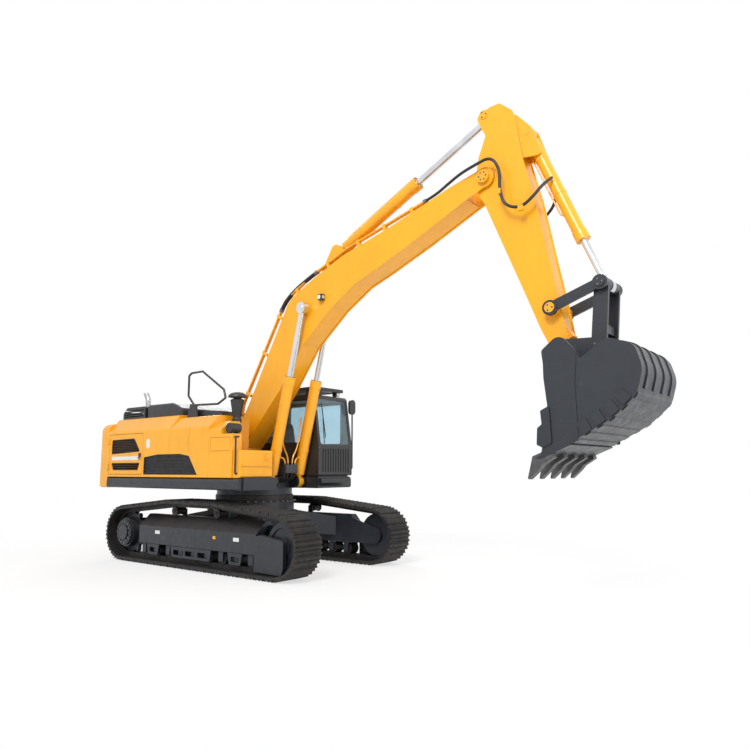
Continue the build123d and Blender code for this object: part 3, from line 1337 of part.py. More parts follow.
def build_all():
    """Every node's name with its shapes."""
    nodes = {
        "car_body": [car_body()],
        "slew_ring": [slew_ring()],
        "track_rollers": track_rollers(),
        "carrier_rollers": carrier_rollers(),
    }
    for name, side in (("left", 1), ("right", -1)):
        nodes["track_" + name] = [track_loop(side)]
        nodes["track_frame_" + name] = [track_frame(side)]
        nodes["final_drive_" + name] = [final_drive(side)]
        nodes["idler_" + name] = [idler(side)]
    nodes["upper_frame"] = [upper_frame()]
    nodes["counterweight"] = [counterweight()]
    nodes["house_shell"] = [house_shell()]
    nodes["hood"] = [hood()]
    nodes["rear_louvre"] = [rear_louvre()]
    right_windows = [UPPER_GRILLE, LOWER_GRILLE]
    nodes["door_right"] = [side_door(DOOR_RIGHT_X, -1, right_windows)]
    nodes["door_right_grille"] = door_grilles(right_windows, -1)
    nodes["door_left_rear"] = [side_door(DOOR_LEFT_REAR_X, 1, [LEFT_GRILLE])]
    nodes["door_left_rear_grille"] = door_grilles([LEFT_GRILLE], 1)
    nodes["door_left_front"] = [side_door(DOOR_LEFT_FRONT_X, 1, [])]
    nodes["side_vent"] = side_vent()
    nodes["hydraulic_tank"] = [hydraulic_tank()]
    nodes["fuel_tank"] = [fuel_tank()]
    nodes["tool_box"] = [tool_box()]
    nodes["engine_block"] = [engine_block()]
    nodes["handrails"] = handrails()
    nodes["catwalk"] = [catwalk()]
    nodes["precleaner"] = precleaner()
    nodes["side_skirts"] = side_skirts()
    nodes["cab_step"] = [cab_step()]
    nodes["exhaust_pipe"] = [exhaust_pipe()]
    nodes["cab_shell"] = [cab_shell()]
    nodes["cab_glass"] = cab_glass()
    nodes["cab_door"] = [cab_door()]
    nodes["cab_door_glass"] = cab_door_glass()
    nodes["operator_seat"] = [operator_seat()]
    nodes["control_stand"] = control_stand()
    nodes["roof_guard"] = [roof_guard()]
    nodes["work_lamps"] = work_lamps()
    nodes["mirrors"] = [mirrors()]
    nodes["boom"] = [boom()]
    nodes["boom_pipes"] = boom_pipes()
    nodes["boom_lamp"] = [boom_lamp()]
    nodes["boom_cylinder_barrels"] = boom_cylinder_barrels()
    nodes["boom_cylinder_rods"] = boom_cylinder_rods()
    nodes["arm_cylinder_barrel"] = [arm_cylinder_barrel()]
    nodes["arm_cylinder_rod"] = [arm_cylinder_rod()]
    nodes["arm"] = [arm()]
    nodes["bucket_cylinder_barrel"] = [bucket_cylinder_barrel()]
    nodes["bucket_cylinder_rod"] = [bucket_cylinder_rod()]
    nodes["side_links"] = side_links()
    nodes["h_link"] = [h_link()]
    nodes["bucket"] = [bucket()]
    nodes["bucket_teeth"] = bucket_teeth()
    return nodes


def main():
    os.makedirs("parts", exist_ok=True)
    for name, shapes in build_all().items():
        save(name, *shapes)


if __name__ == "__main__":
    main()
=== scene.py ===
import bpy
import bmesh
import json
import math
from mathutils import Matrix, Vector


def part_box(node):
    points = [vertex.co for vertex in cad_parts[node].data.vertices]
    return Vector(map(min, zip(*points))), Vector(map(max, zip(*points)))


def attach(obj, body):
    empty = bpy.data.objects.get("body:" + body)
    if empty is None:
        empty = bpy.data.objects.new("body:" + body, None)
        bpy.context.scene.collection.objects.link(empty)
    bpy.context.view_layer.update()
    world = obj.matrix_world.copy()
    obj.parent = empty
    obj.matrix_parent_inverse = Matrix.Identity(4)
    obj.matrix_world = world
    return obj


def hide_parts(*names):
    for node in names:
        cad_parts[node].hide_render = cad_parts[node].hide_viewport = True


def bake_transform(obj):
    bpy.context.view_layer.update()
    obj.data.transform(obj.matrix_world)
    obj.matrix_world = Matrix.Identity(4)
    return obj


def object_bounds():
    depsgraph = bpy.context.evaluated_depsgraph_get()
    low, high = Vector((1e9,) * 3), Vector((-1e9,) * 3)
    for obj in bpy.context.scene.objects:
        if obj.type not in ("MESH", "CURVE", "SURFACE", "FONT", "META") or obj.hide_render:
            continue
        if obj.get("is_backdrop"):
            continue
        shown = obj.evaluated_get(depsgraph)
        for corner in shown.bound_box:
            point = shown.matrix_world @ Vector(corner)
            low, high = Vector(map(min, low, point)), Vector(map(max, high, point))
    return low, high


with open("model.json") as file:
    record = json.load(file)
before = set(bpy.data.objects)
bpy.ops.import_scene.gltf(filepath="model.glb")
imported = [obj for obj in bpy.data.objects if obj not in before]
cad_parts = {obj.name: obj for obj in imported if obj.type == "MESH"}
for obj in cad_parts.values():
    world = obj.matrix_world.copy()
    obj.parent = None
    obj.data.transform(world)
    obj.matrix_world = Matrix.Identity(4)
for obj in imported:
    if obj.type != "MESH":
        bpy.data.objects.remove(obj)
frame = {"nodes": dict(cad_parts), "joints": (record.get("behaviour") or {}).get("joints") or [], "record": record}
nodes = frame["nodes"]
joints = {j["name"]: j for j in frame["joints"]}


def plain(value):
    if hasattr(value, "__len__"):
        return [plain(v) for v in value]
    return float(value)


cad_box = plain(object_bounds())

# Places below are in metres from the slewing centre on the ground, which lies at SX in the frame.
SX = joints["slew"]["pos_m"][0]
CLEAR = 0.0005                # how far a fitted piece stands off the face that carries it
HOUSE_SIDE = 1.500            # from the middle to the house's and the cab's outer faces
PLATE_OUT = 0.012             # how far lock plates reach
LATCH_Z = 2.060
WHEEL_Z = 0.540               # axles of idlers and drives
DRIVE_X = -2.280
IDLER_X = 2.190

# Pins seen from the side, as (x, z)
BOOM_FOOT = (-0.300, 2.150)
BOOM_TIP = (5.450, 6.350)
ARM_EYE = (5.440, 7.430)
LIFT_FOOT = (0.840, 1.560)
LIFT_EYE = (1.620, 4.800)
ARM_CYLINDER_FOOT = (2.250, 5.850)
BUCKET_CYLINDER_FOOT = (6.130, 6.930)
SIDE_LINK_PIN = (6.480, 4.070)
BUCKET_PIN = (6.600, 3.450)
HEAD_PIN = (7.210, 4.320)
BUCKET_LINK_PIN = (7.130, 3.430)


# Materials


def grey(value):
    return (value,) * 3


def scaled(colour, factor):
    return tuple(min(c * factor, 1) for c in colour)


def tree_of(name):
    mat = bpy.data.materials.new(name)
    mat.use_nodes = True
    tree = mat.node_tree
    shader = tree.nodes["Principled BSDF"]
    return mat, tree, shader


def add(tree, kind, **values):
    node = tree.nodes.new(kind)
    for key, value in values.items():
        if hasattr(node, key):
            setattr(node, key, value)
        else:
            node.inputs[key].default_value = value
    return node


def feed(tree, value, socket):
    """Links an output to a socket, or sets a number or a colour on it."""
    if isinstance(value, (int, float)):
        socket.default_value = value
    elif isinstance(value, tuple):
        socket.default_value = (*value, 1)
    else:
        tree.links.new(value, socket)


def noise(tree, scale, detail=4.0, rough=0.6, stretch=None):
    source = add(tree, "ShaderNodeTexCoord").outputs["Object"]
    if stretch:
        mapping = add(tree, "ShaderNodeMapping", Scale=stretch)
        tree.links.new(source, mapping.inputs["Vector"])
        source = mapping.outputs["Vector"]
    node = add(tree, "ShaderNodeTexNoise", Scale=scale, Detail=detail, Roughness=rough)
    tree.links.new(source, node.inputs["Vector"])
    return node.outputs["Fac"]


def wave(tree, scale, distortion):
    coord = add(tree, "ShaderNodeTexCoord")
    node = add(tree, "ShaderNodeTexWave", Scale=scale, Distortion=distortion)
    tree.links.new(coord.outputs["Object"], node.inputs["Vector"])
    return node.outputs["Fac"]


def ramp(tree, source, stops):
    node = add(tree, "ShaderNodeValToRGB")
    elements = node.color_ramp.elements
    while len(elements) < len(stops):
        elements.new(0.5)
    for element, (place, colour) in zip(elements, stops):
        element.position = place
        element.color = (*colour, 1)
    tree.links.new(source, node.inputs["Fac"])
    return node.outputs["Color"]


def mixed(tree, factor, first, second, blend="MIX"):
    node = add(tree, "ShaderNodeMix", data_type="RGBA", blend_type=blend)
    for value, place in ((factor, 0), (first, 6), (second, 7)):
        feed(tree, value, node.inputs[place])
    return node.outputs[2]


def math_node(tree, operation, first, second=0.0, clamp=False):
    node = add(tree, "ShaderNodeMath", operation=operation, use_clamp=clamp)
    feed(tree, first, node.inputs[0])
    feed(tree, second, node.inputs[1])
    return node.outputs[0]


def bump(tree, shader, source, strength, distance):
    node = add(tree, "ShaderNodeBump", Strength=strength, Distance=distance)
    tree.links.new(source, node.inputs["Height"])
    tree.links.new(node.outputs[0], shader.inputs["Normal"])


def vary_roughness(tree, shader, source, limits, top=0.7):
    spread = ramp(tree, source, [(0.3, grey(limits[0])), (top, grey(limits[1]))])
    tree.links.new(spread, shader.inputs["Roughness"])


def up_facing(tree):
    geometry = add(tree, "ShaderNodeNewGeometry")
    split = add(tree, "ShaderNodeSeparateXYZ")
    tree.links.new(geometry.outputs["Normal"], split.inputs[0])
    return math_node(tree, "MULTIPLY", split.outputs["Z"], 1.0, True)


DUST = (0.30, 0.22, 0.14)
WORN = (0.2, 0.19, 0.18)


def paint(name, colour, rough, dust, wear=0.0, worn=WORN, coat=0.25, peel=0.04, shade=0.10):
    """Sprayed paint: slight mottling, orange peel, dust on upward faces, and worn patches."""
    mat, tree, shader = tree_of(name)
    mottle = [(0.3, scaled(colour, 1 - shade)), (0.7, scaled(colour, 1 + shade * 0.5))]
    base = ramp(tree, noise(tree, 1.7, 5), mottle)
    streak = noise(tree, 6, 6, 0.7, (1, 1, 0.16))
    streak = ramp(tree, streak, [(0.45, grey(0.93)), (0.62, grey(1))])
    base = mixed(tree, 0.6, base, streak, "MULTIPLY")
    if wear:
        stops = [(0.66 - wear * 0.3, grey(0)), (0.72 - wear * 0.2, grey(1))]
        base = mixed(tree, ramp(tree, noise(tree, 11, 8, 0.75), stops), base, worn)
    cover = math_node(tree, "MULTIPLY", up_facing(tree), noise(tree, 5, 6))
    cover = math_node(tree, "MULTIPLY", cover, dust * 2, True)
    base = mixed(tree, cover, base, DUST)
    tree.links.new(base, shader.inputs["Base Color"])
    vary_roughness(tree, shader, noise(tree, 9, 5), rough)
    shader.inputs["Coat Weight"].default_value = coat
    shader.inputs["Coat Roughness"].default_value = 0.12
    bump(tree, shader, noise(tree, 220, 3), peel, 0.001)
    return mat


def steel(name, colour, rough, dirt, dirt_colour, metal=0.6, bumpy=0.25, scale=14.0):
    """Bare working steel: scraped bright in places, dirty in others."""
    mat, tree, shader = tree_of(name)
    stops = [(0.32, scaled(colour, 0.62)), (0.55, colour), (0.75, scaled(colour, 1.5))]
    base = ramp(tree, noise(tree, scale, 8, 0.7), stops)
    stops = [(0.5 - dirt * 0.2, grey(0)), (0.72 - dirt * 0.2, grey(1))]
    mud = ramp(tree, noise(tree, scale * 0.35, 7, 0.7), stops)
    mud = math_node(tree, "MULTIPLY", mud, dirt, True)
    base = mixed(tree, mud, base, dirt_colour)
    tree.links.new(base, shader.inputs["Base Color"])
    vary_roughness(tree, shader, noise(tree, scale * 1.3, 6), rough)
    shader.inputs["Metallic"].default_value = metal
    bump(tree, shader, noise(tree, 60, 8, 0.7), bumpy, 0.003)
    return mat


def chrome():
    mat, tree, shader = tree_of("hard_chrome")
    stops = [(0.35, (0.60, 0.62, 0.66)), (0.7, (0.78, 0.79, 0.81))]
    base = ramp(tree, noise(tree, 3, 6, 0.6, (1, 1, 0.2)), stops)
    tree.links.new(base, shader.inputs["Base Color"])
    vary_roughness(tree, shader, noise(tree, 40, 5), (0.16, 0.27), 0.8)
    shader.inputs["Metallic"].default_value = 1.0
    bump(tree, shader, noise(tree, 300, 3), 0.03, 0.0005)
    return mat


def glass(name, colour):
    mat, tree, shader = tree_of(name)
    tint = ramp(tree, noise(tree, 2, 3), [(0.3, colour), (0.7, scaled(colour, 1.08))])
    tree.links.new(tint, shader.inputs["Base Color"])
    shader.inputs["Roughness"].default_value = 0.02
    shader.inputs["Transmission Weight"].default_value = 0.92
    shader.inputs["IOR"].default_value = 1.45
    bump(tree, shader, noise(tree, 1.2, 2), 0.01, 0.001)
    return mat


def cloth(name, colour):
    mat, tree, shader = tree_of(name)
    weave = wave(tree, 260.0, 1.0)
    base = ramp(tree, noise(tree, 30, 6), [(0.3, scaled(colour, 0.7)), (0.7, colour)])
    tree.links.new(base, shader.inputs["Base Color"])
    shader.inputs["Roughness"].default_value = 0.9
    shader.inputs["Sheen Weight"].default_value = 0.3
    bump(tree, shader, weave, 0.3, 0.001)
    return mat


def lamp_glass(name):
    mat, tree, shader = tree_of(name)
    ribs = wave(tree, 60.0, 0.5)
    base = ramp(tree, ribs, [(0.2, (0.6, 0.65, 0.7)), (0.8, (0.9, 0.92, 0.95))])
    tree.links.new(base, shader.inputs["Base Color"])
    shader.inputs["Roughness"].default_value = 0.12
    shader.inputs["Metallic"].default_value = 0.4
    shader.inputs["Coat Weight"].default_value = 1.0
    bump(tree, shader, ribs, 0.2, 0.001)
    return mat


# Painted and moulded surfaces: name, colour, roughness, dust, and what differs from usual
PAINTS = {
    "yellow": ("yellow_paint", (0.93, 0.41, 0.006), (0.30, 0.42), 0.04, dict(shade=0.06)),
    "dark_blue_grey": ("blue_grey_paint", (0.015, 0.019, 0.027), (0.34, 0.55), 0.12,
                       dict(wear=0.12, worn=(0.055, 0.056, 0.062), coat=0.12, shade=0.18,
                            peel=0.08)),
    "black_paint": ("black_paint", (0.018, 0.019, 0.021), (0.35, 0.55), 0.10,
                    dict(coat=0.15, shade=0.25)),
    "weight_paint": ("casting_paint", (0.08, 0.085, 0.09), (0.4, 0.6), 0.1,
                     dict(coat=0.1, peel=0.15)),
    "grille_black": ("grille_plastic", (0.014, 0.014, 0.016), (0.5, 0.7), 0.08,
                     dict(coat=0.0, shade=0.2)),
    "lamp_body": ("lamp_plastic", (0.03, 0.03, 0.033), (0.3, 0.45), 0.05, dict(coat=0.2)),
    "hose_rubber": ("hose_rubber", (0.016, 0.016, 0.017), (0.45, 0.6), 0.06,
                    dict(coat=0.0, peel=0.2)),
    "seal_rubber": ("seal_rubber", (0.010, 0.010, 0.011), (0.6, 0.75), 0.03, dict(coat=0.0)),
    "white_mark": ("white_reflector", (0.80, 0.81, 0.80), (0.25, 0.4), 0.04, {}),
    "amber_mark": ("amber_reflector", (0.95, 0.45, 0.02), (0.25, 0.4), 0.02, {}),
}

# Bare steel: name, colour, roughness, share of dirt, its colour, and what differs from usual
STEELS = {
    "track_steel": ("track_steel", (0.036, 0.035, 0.036), (0.42, 0.7), 0.35,
                    (0.085, 0.066, 0.05), {}),
    "tooth_steel": ("tooth_steel", (0.10, 0.10, 0.105), (0.35, 0.6), 0.25, (0.11, 0.09, 0.07), {}),
    "silver_metal": ("bright_pipe", (0.55, 0.55, 0.56), (0.18, 0.34), 0.1, (0.25, 0.22, 0.18),
                     dict(metal=1.0, bumpy=0.03)),
    "bolt_steel": ("bolt_steel", (0.20, 0.20, 0.21), (0.3, 0.5), 0.2, (0.1, 0.08, 0.06),
                   dict(metal=0.8, bumpy=0.1)),
}

M = {slot: paint(*values[:-1], **values[-1]) for slot, values in PAINTS.items()}
M.update({slot: steel(*values[:-1], **values[-1]) for slot, values in STEELS.items()})
M["chrome_rod"] = chrome()
M["clear_glass"] = glass("tinted_glass", (0.62, 0.80, 0.88))
M["seat_fabric"] = cloth("seat_cloth", (0.03, 0.031, 0.035))
M["lamp_lens"] = lamp_glass("lamp_lens")

slots = {p["node"]: p["material_slot"] for p in frame["record"]["subparts"]}
for name, obj in nodes.items():
    obj.data.materials.clear()
    obj.data.materials.append(M[slots[name]])


# Camera, lights, surroundings and floor

SENSOR = 36.0                                  # mm
FOCAL_PIXELS = 662.6                           # fitted to the photograph, which is 750 wide
PHOTO_WIDTH = 750
CAMERA_PLACE = (10.22, -9.09, 1.79)
CAMERA_TURN = (98.11, 0.08, 38.21)             # degrees
FLOOR_HALF = 90.0
FLOOR_DROP = 0.002
FADE_NEAR, FADE_FAR = 3.0, 9.0                 # the floor's shadows fade out between these


def in_scene(name, data):
    obj = bpy.data.objects.new(name, data)
    bpy.context.scene.collection.objects.link(obj)
    return obj


def here(point):
    """A point given from the slewing centre, in the shared frame."""
    return Vector((point[0] + SX, point[1], point[2]))


camera = bpy.data.cameras.new("camera")
camera.sensor_width = SENSOR
camera.lens = SENSOR * FOCAL_PIXELS / PHOTO_WIDTH
camera.clip_end = 300
eye = in_scene("camera", camera)
eye.location = here(CAMERA_PLACE)
eye.rotation_euler = [math.radians(angle) for angle in CAMERA_TURN]
bpy.context.scene.camera = eye


def area(name, place, target, size, power):
    data = bpy.data.lights.new(name, "AREA")
    data.shape = "DISK"
    data.size = size
    data.energy = power
    obj = in_scene(name, data)
    obj.location = here(place)
    aim = here(target) - here(place)
    obj.rotation_euler = aim.to_track_quat("-Z", "Y").to_euler()


area("key", (9, -16, 17), (1, 0, 2.5), 9, 3300)
area("fill", (16, 3, 7), (2, 0, 3), 10, 900)
area("back", (-12, 9, 12), (0, 0, 3), 10, 1000)


def seen_by_camera(tree, *more):
    """1 for camera rays, mirrored rays and any other kinds named, and 0 for the rest."""
    path = add(tree, "ShaderNodeLightPath")
    seen = path.outputs["Is Camera Ray"]
    for kind in ("Is Glossy Ray", *more):
        seen = math_node(tree, "MAXIMUM", seen, path.outputs[kind])
    return seen


def studio():
    """White where it is looked at, and half as bright where it lights the machine."""
    world = bpy.data.worlds.new("studio")
    bpy.context.scene.world = world
    world.use_nodes = True
    tree = world.node_tree
    background = tree.nodes["Background"]
    strength = add(tree, "ShaderNodeMix", data_type="FLOAT")
    strength.inputs[2].default_value = 0.50
    strength.inputs[3].default_value = 1.0
    tree.links.new(seen_by_camera(tree, "Is Transmission Ray"), strength.inputs[0])
    tree.links.new(strength.outputs[0], background.inputs["Strength"])
    background.inputs["Color"].default_value = (1, 1, 1, 1)


def floor():
    """A white floor that takes shadows near the machine and turns plain white further out."""
    corners = [(x * FLOOR_HALF, y * FLOOR_HALF, 0) for x, y in ((-1, -1), (1, -1), (1, 1), (-1, 1))]
    data = bpy.data.meshes.new("floor")
    data.from_pydata(corners, [], [(0, 1, 2, 3)])
    obj = in_scene("floor", data)
    obj.location = here((0, 0, -FLOOR_DROP))
    mat, tree, shader = tree_of("floor_white")
    base = ramp(tree, noise(tree, 0.4, 3), [(0.3, grey(0.93)), (0.7, grey(0.96))])
    tree.links.new(base, shader.inputs["Base Color"])
    shader.inputs["Roughness"].default_value = 0.9
    shader.inputs["Specular IOR Level"].default_value = 0.0
    emission = add(tree, "ShaderNodeEmission", Strength=1.0)
    coord = add(tree, "ShaderNodeTexCoord")
    reach = add(tree, "ShaderNodeVectorMath", operation="LENGTH")
    tree.links.new(coord.outputs["Object"], reach.inputs[0])
    fade = add(tree, "ShaderNodeMapRange", interpolation_type="SMOOTHSTEP",
               **{"From Min": FADE_NEAR, "From Max": FADE_FAR, "To Min": 0.62, "To Max": 1.0})
    tree.links.new(reach.outputs["Value"], fade.inputs["Value"])
    share = math_node(tree, "MULTIPLY", seen_by_camera(tree), fade.outputs[0])
    mixer = add(tree, "ShaderNodeMixShader")
    for source, socket in zip((share, shader.outputs[0], emission.outputs[0]), mixer.inputs):
        tree.links.new(source, socket)
    tree.links.new(mixer.outputs[0], tree.nodes["Material Output"].inputs["Surface"])
    data.materials.append(mat)
    obj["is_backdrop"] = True


studio()
floor()
bpy.context.scene.view_settings.view_transform = "Standard"


# Making small pieces


def placed(name, data, material, body, smooth=True):
    obj = in_scene(name, data)
    data.materials.clear()
    data.materials.append(M[material])
    if smooth:
        for face in data.polygons:
            face.use_smooth = True
        data.set_sharp_from_angle(angle=math.radians(35))
    if body:
        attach(obj, body)
    return obj


def meshed(name, bm, material, body, smooth=True):
    data = bpy.data.meshes.new(name)
    bmesh.ops.recalc_face_normals(bm, faces=bm.faces)
    bm.to_mesh(data)
    bm.free()
    return placed(name, data, material, body, smooth)


def line_mesh(name, runs, radius, material, body):
    """Round hoses or pipes along smooth runs of points, as one mesh."""
    data = bpy.data.curves.new(name, "CURVE")
    data.dimensions = "3D"
    data.bevel_depth = radius
    data.bevel_resolution = 3
    data.resolution_u = 8
    data.use_fill_caps = True
    for points in runs:
        spline = data.splines.new("NURBS")
        spline.points.add(len(points) - 1)
        for place, point in zip(spline.points, points):
            place.co = (*here(point), 1)
        spline.order_u = 3
        spline.use_endpoint_u = True
    carrier = in_scene(name + "_line", data)
    mesh = bpy.data.meshes.new_from_object(carrier)
    bpy.data.objects.remove(carrier)
    return placed(name, mesh, material, body)


def turned(direction):
    return Vector(direction).to_track_quat("Z", "Y").to_matrix().to_4x4()


def circle(radius, count, start=0.0):
    angles = [2 * math.pi * k / count + start for k in range(count)]
    return [(radius * math.cos(a), radius * math.sin(a)) for a in angles]


def wall(bm, low, high):
    """The faces between two closed loops that have as many corners."""
    for k in range(len(low)):
        n = (k + 1) % len(low)
        bm.faces.new((low[k], low[n], high[n], high[k]))


def skin(bm, loops):
    """A closed skin over a row of loops."""
    bm.faces.new(loops[0])
    bm.faces.new(loops[-1])
    for low, high in zip(loops, loops[1:]):
        wall(bm, low, high)


def disc(bm, point, direction, radius, depth, sides=24, chamfer=0.0):
    """A short round piece standing on point, with its outer edge cut back."""
    matrix = Matrix.Translation(here(point)) @ turned(direction)
    rings = [(radius, 0.0), (radius, depth - chamfer)]
    if chamfer:
        rings.append((radius - chamfer, depth))
    skin(bm, [[bm.verts.new(matrix @ Vector((x, y, z))) for x, y in circle(r, sides)]
              for r, z in rings])


def bolt(bm, point, direction, size):
    """Hexagon head on its washer."""
    washer = size * 0.2
    disc(bm, point, direction, size * 1.25, washer, 14)
    top = Vector(point) + Vector(direction).normalized() * washer
    disc(bm, top, direction, size, size * 0.75, 6, size * 0.12)


def bolt_ring(bm, centre, direction, radius, count, size, start=0.0):
    basis = turned(direction)
    for x, y in circle(radius, count, start):
        bolt(bm, Vector(centre) + basis @ Vector((x, y, 0)), direction, size)


def plate(bm, corners, y0, y1):
    """A flat plate given by its (x, z) corners, between two distances across the machine."""
    skin(bm, [[bm.verts.new(here((x, y, z))) for x, z in corners] for y in (y0, y1)])


def rounded(width, tall, radius, centre, steps=5):
    points = []
    for cx, cz, start in ((1, 1, 0), (-1, 1, 90), (-1, -1, 180), (1, -1, 270)):
        for k in range(steps + 1):
            a = math.radians(start + 90 * k / steps)
            points.append((centre[0] + cx * (width / 2 - radius) + radius * math.cos(a),
                           centre[1] + cz * (tall / 2 - radius) + radius * math.sin(a)))
    return points


def frame_strip(bm, x_range, z_range, y, depth, inward=0.012):
    """A flat seal over a window's edge, standing on the face at y and reaching inward."""
    (x0, x1), (z0, z1) = x_range, z_range
    mid = ((x0 + x1) / 2, (z0 + z1) / 2)
    outer = rounded(x1 - x0 + 0.030, z1 - z0 + 0.030, 0.060, mid)
    inner = rounded(x1 - x0 - 2 * inward, z1 - z0 - 2 * inward, 0.040, mid)
    loops = [[bm.verts.new(here((x, at, z))) for x, z in ring]
             for at in (y, y + depth) for ring in (outer, inner)]
    for a, b in ((0, 1), (2, 3), (0, 2), (1, 3)):
        wall(bm, loops[a], loops[b])


def outer_face(node, sign):
    """How far out a node reaches on its own side of the machine."""
    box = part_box(node)
    return box[1][1] if sign > 0 else box[0][1]


# Pin ends with their keeper bolts: body, pin, distance out, radius and number of bolts
PIN_END = 0.016
PINS = (
    ("boom", BOOM_FOOT, 0.288, 0.085, 4),
    ("boom", BOOM_TIP, 0.288, 0.105, 6),
    ("arm", SIDE_LINK_PIN, 0.322, 0.075, 3),
    ("arm", BUCKET_PIN, 0.322, 0.080, 3),
    ("arm", ARM_EYE, 0.185, 0.075, 3),
    ("side_links", HEAD_PIN, 0.324, 0.070, 3),
    ("bucket", BUCKET_LINK_PIN, 0.322, 0.070, 3),
)
for index, (body, (x, z), out, radius, count) in enumerate(PINS):
    ends, bolts = bmesh.new(), bmesh.new()
    for sign in (-1, 1):
        outward = (0, sign, 0)
        disc(ends, (x, sign * out, z), outward, radius, PIN_END, 32, 0.004)
        bolt_ring(bolts, (x, sign * (out + PIN_END), z), outward, radius * 0.6, count, 0.012)
    slot = "yellow" if body in ("boom", "arm") else "dark_blue_grey"
    meshed("pin_end_%d" % index, ends, slot, body)
    meshed("pin_bolts_%d" % index, bolts, "bolt_steel", body, False)

# Slewing ring bolts, drive covers with their bolts, and idler caps
bm = bmesh.new()
bolt_ring(bm, (0, 0, 1.18), (0, 0, 1), 0.800, 36, 0.020)
meshed("ring_bolts", bm, "bolt_steel", "undercarriage", False)
COVER_DEPTH = 0.020
for sign, side in ((1, "left"), (-1, "right")):
    outward = (0, sign, 0)
    face = outer_face("final_drive_" + side, sign)
    cover, bolts, cap = bmesh.new(), bmesh.new(), bmesh.new()
    disc(cover, (DRIVE_X, face, WHEEL_Z), outward, 0.150, COVER_DEPTH, 40, 0.008)
    meshed("drive_cover_" + side, cover, "dark_blue_grey", "undercarriage")
    bolt_ring(bolts, (DRIVE_X, face, WHEEL_Z), outward, 0.205, 14, 0.014)
    bolt_ring(bolts, (DRIVE_X, face + sign * COVER_DEPTH, WHEEL_Z), outward, 0.105, 8, 0.010, 0.2)
    meshed("drive_bolts_" + side, bolts, "bolt_steel", "undercarriage", False)
    disc(cap, (IDLER_X, outer_face("idler_" + side, sign), WHEEL_Z), outward, 0.075, 0.012, 32,
         0.004)
    meshed("idler_cap_" + side, cap, "dark_blue_grey", "undercarriage")


# Black hoses over the pipes at the bend of the boom

# Corners of the boom's pipes, as (x, z), and how far each pipe lies from the middle
PIPE_CORNERS = [(-0.150, 3.130), (1.000, 5.075), (1.640, 5.420), (2.600, 5.800)]
INNER_PIPE, OUTER_PIPE = 0.178, 0.222


def along(a, b, t):
    return tuple(p + (q - p) * t for p, q in zip(a, b))


foot, knee, shoulder, top = PIPE_CORNERS
LINE = (along(foot, knee, 0.90), along(foot, knee, 0.97), (1.24, 5.235), shoulder,
        along(shoulder, top, 0.20))
HOSES = [[(x, y, z) for x, z in LINE] for y in (-OUTER_PIPE, -INNER_PIPE, INNER_PIPE, OUTER_PIPE)]
line_mesh("bend_hoses", HOSES, 0.026, "hose_rubber", "boom")
ENDS = []
for points in HOSES:
    for a, b in ((points[0], points[1]), (points[-1], points[-2])):
        ENDS.append([along(a, b, -0.10), a, along(a, b, 0.25)])
line_mesh("bend_hose_ends", ENDS, 0.031, "bolt_steel", "boom")

# Hoses from the boom's pipes round the pivot to the bucket cylinder, as (x, y, z)
ARM_HOSE = (
    (4.300, 0.222, 6.250), (4.520, 0.222, 6.300), (4.820, 0.262, 6.420), (5.086, 0.330, 6.488),
    (5.348, 0.350, 6.540), (5.640, 0.352, 6.600), (5.790, 0.352, 6.330), (5.760, 0.352, 6.020),
    (5.850, 0.352, 5.740), (6.110, 0.350, 5.640), (6.330, 0.330, 5.800), (6.420, 0.250, 5.960),
    (6.520, 0.130, 6.080),
)
# Clips on the arm's side: x and z ranges, and how far out each reaches
ARM_SIDE = 0.322
CLIPS = (((5.735, 5.795), (5.95, 6.03), 0.382), ((6.07, 6.15), (5.60, 5.68), 0.380))
for sign, side in ((-1, "right"), (1, "left")):
    run = [(x, sign * y, z) for x, y, z in ARM_HOSE]
    hose = line_mesh("arm_hose_" + side, [run], 0.024, "hose_rubber", None)
    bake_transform(hose)
    fit = bmesh.new()
    for y in (OUTER_PIPE, INNER_PIPE):
        disc(fit, (4.290, sign * y, 6.248), (1, 0, 0.26), 0.033, 0.060, 12, 0.006)
    meshed("boom_pipe_nuts_" + side, fit, "bolt_steel", "boom")
    clip = bmesh.new()
    for (x0, x1), (z0, z1), reach in CLIPS:
        corners = [(x0, z0), (x1, z0), (x1, z1), (x0, z1)]
        plate(clip, corners, sign * ARM_SIDE, sign * reach)
    meshed("arm_hose_clips_" + side, clip, "yellow", "arm", False)


# Pipes, bands and gland bolts on the cylinders


def axis_point(base, eye, distance, side):
    """A point distance along the cylinder from its base, and side off its axis, in (x, z)."""
    run = math.dist(base, eye)
    ux, uz = (eye[0] - base[0]) / run, (eye[1] - base[1]) / run
    return base[0] + ux * distance - uz * side, base[1] + uz * distance + ux * side


def cylinder_pipes(name, base, eye, y, radius, length, body, side):
    """A pipe along one side of a barrel that ends at length, two bands and eight gland bolts."""
    def at(distance, off, across=0.0):
        x, z = axis_point(base, eye, distance, off)
        return x, y + across, z

    pipe, inlet = side * (radius + 0.030), side * (radius - 0.01)
    start = 0.24
    middle = [at(start + (length - 0.35) * t, pipe) for t in (0.1, 0.5, 0.9)]
    run = [at(0.22, inlet), at(start, pipe), *middle, at(length - 0.11, pipe),
           at(length - 0.09, inlet)]
    axis = (eye[0] - base[0], 0, eye[1] - base[1])
    bands, bolts = bmesh.new(), bmesh.new()
    for t in (0.3, 0.72):
        disc(bands, at(length * t, 0), axis, radius + 0.007, 0.045, 40, 0.003)
    for off, across in circle(radius - 0.012, 8):
        bolt(bolts, at(length, off, across), axis, 0.012)
    line_mesh(name + "_pipes", [run], 0.013, "yellow", body)
    meshed(name + "_bands", bands, "yellow", body)
    meshed(name + "_gland_bolts", bolts, "bolt_steel", body, False)


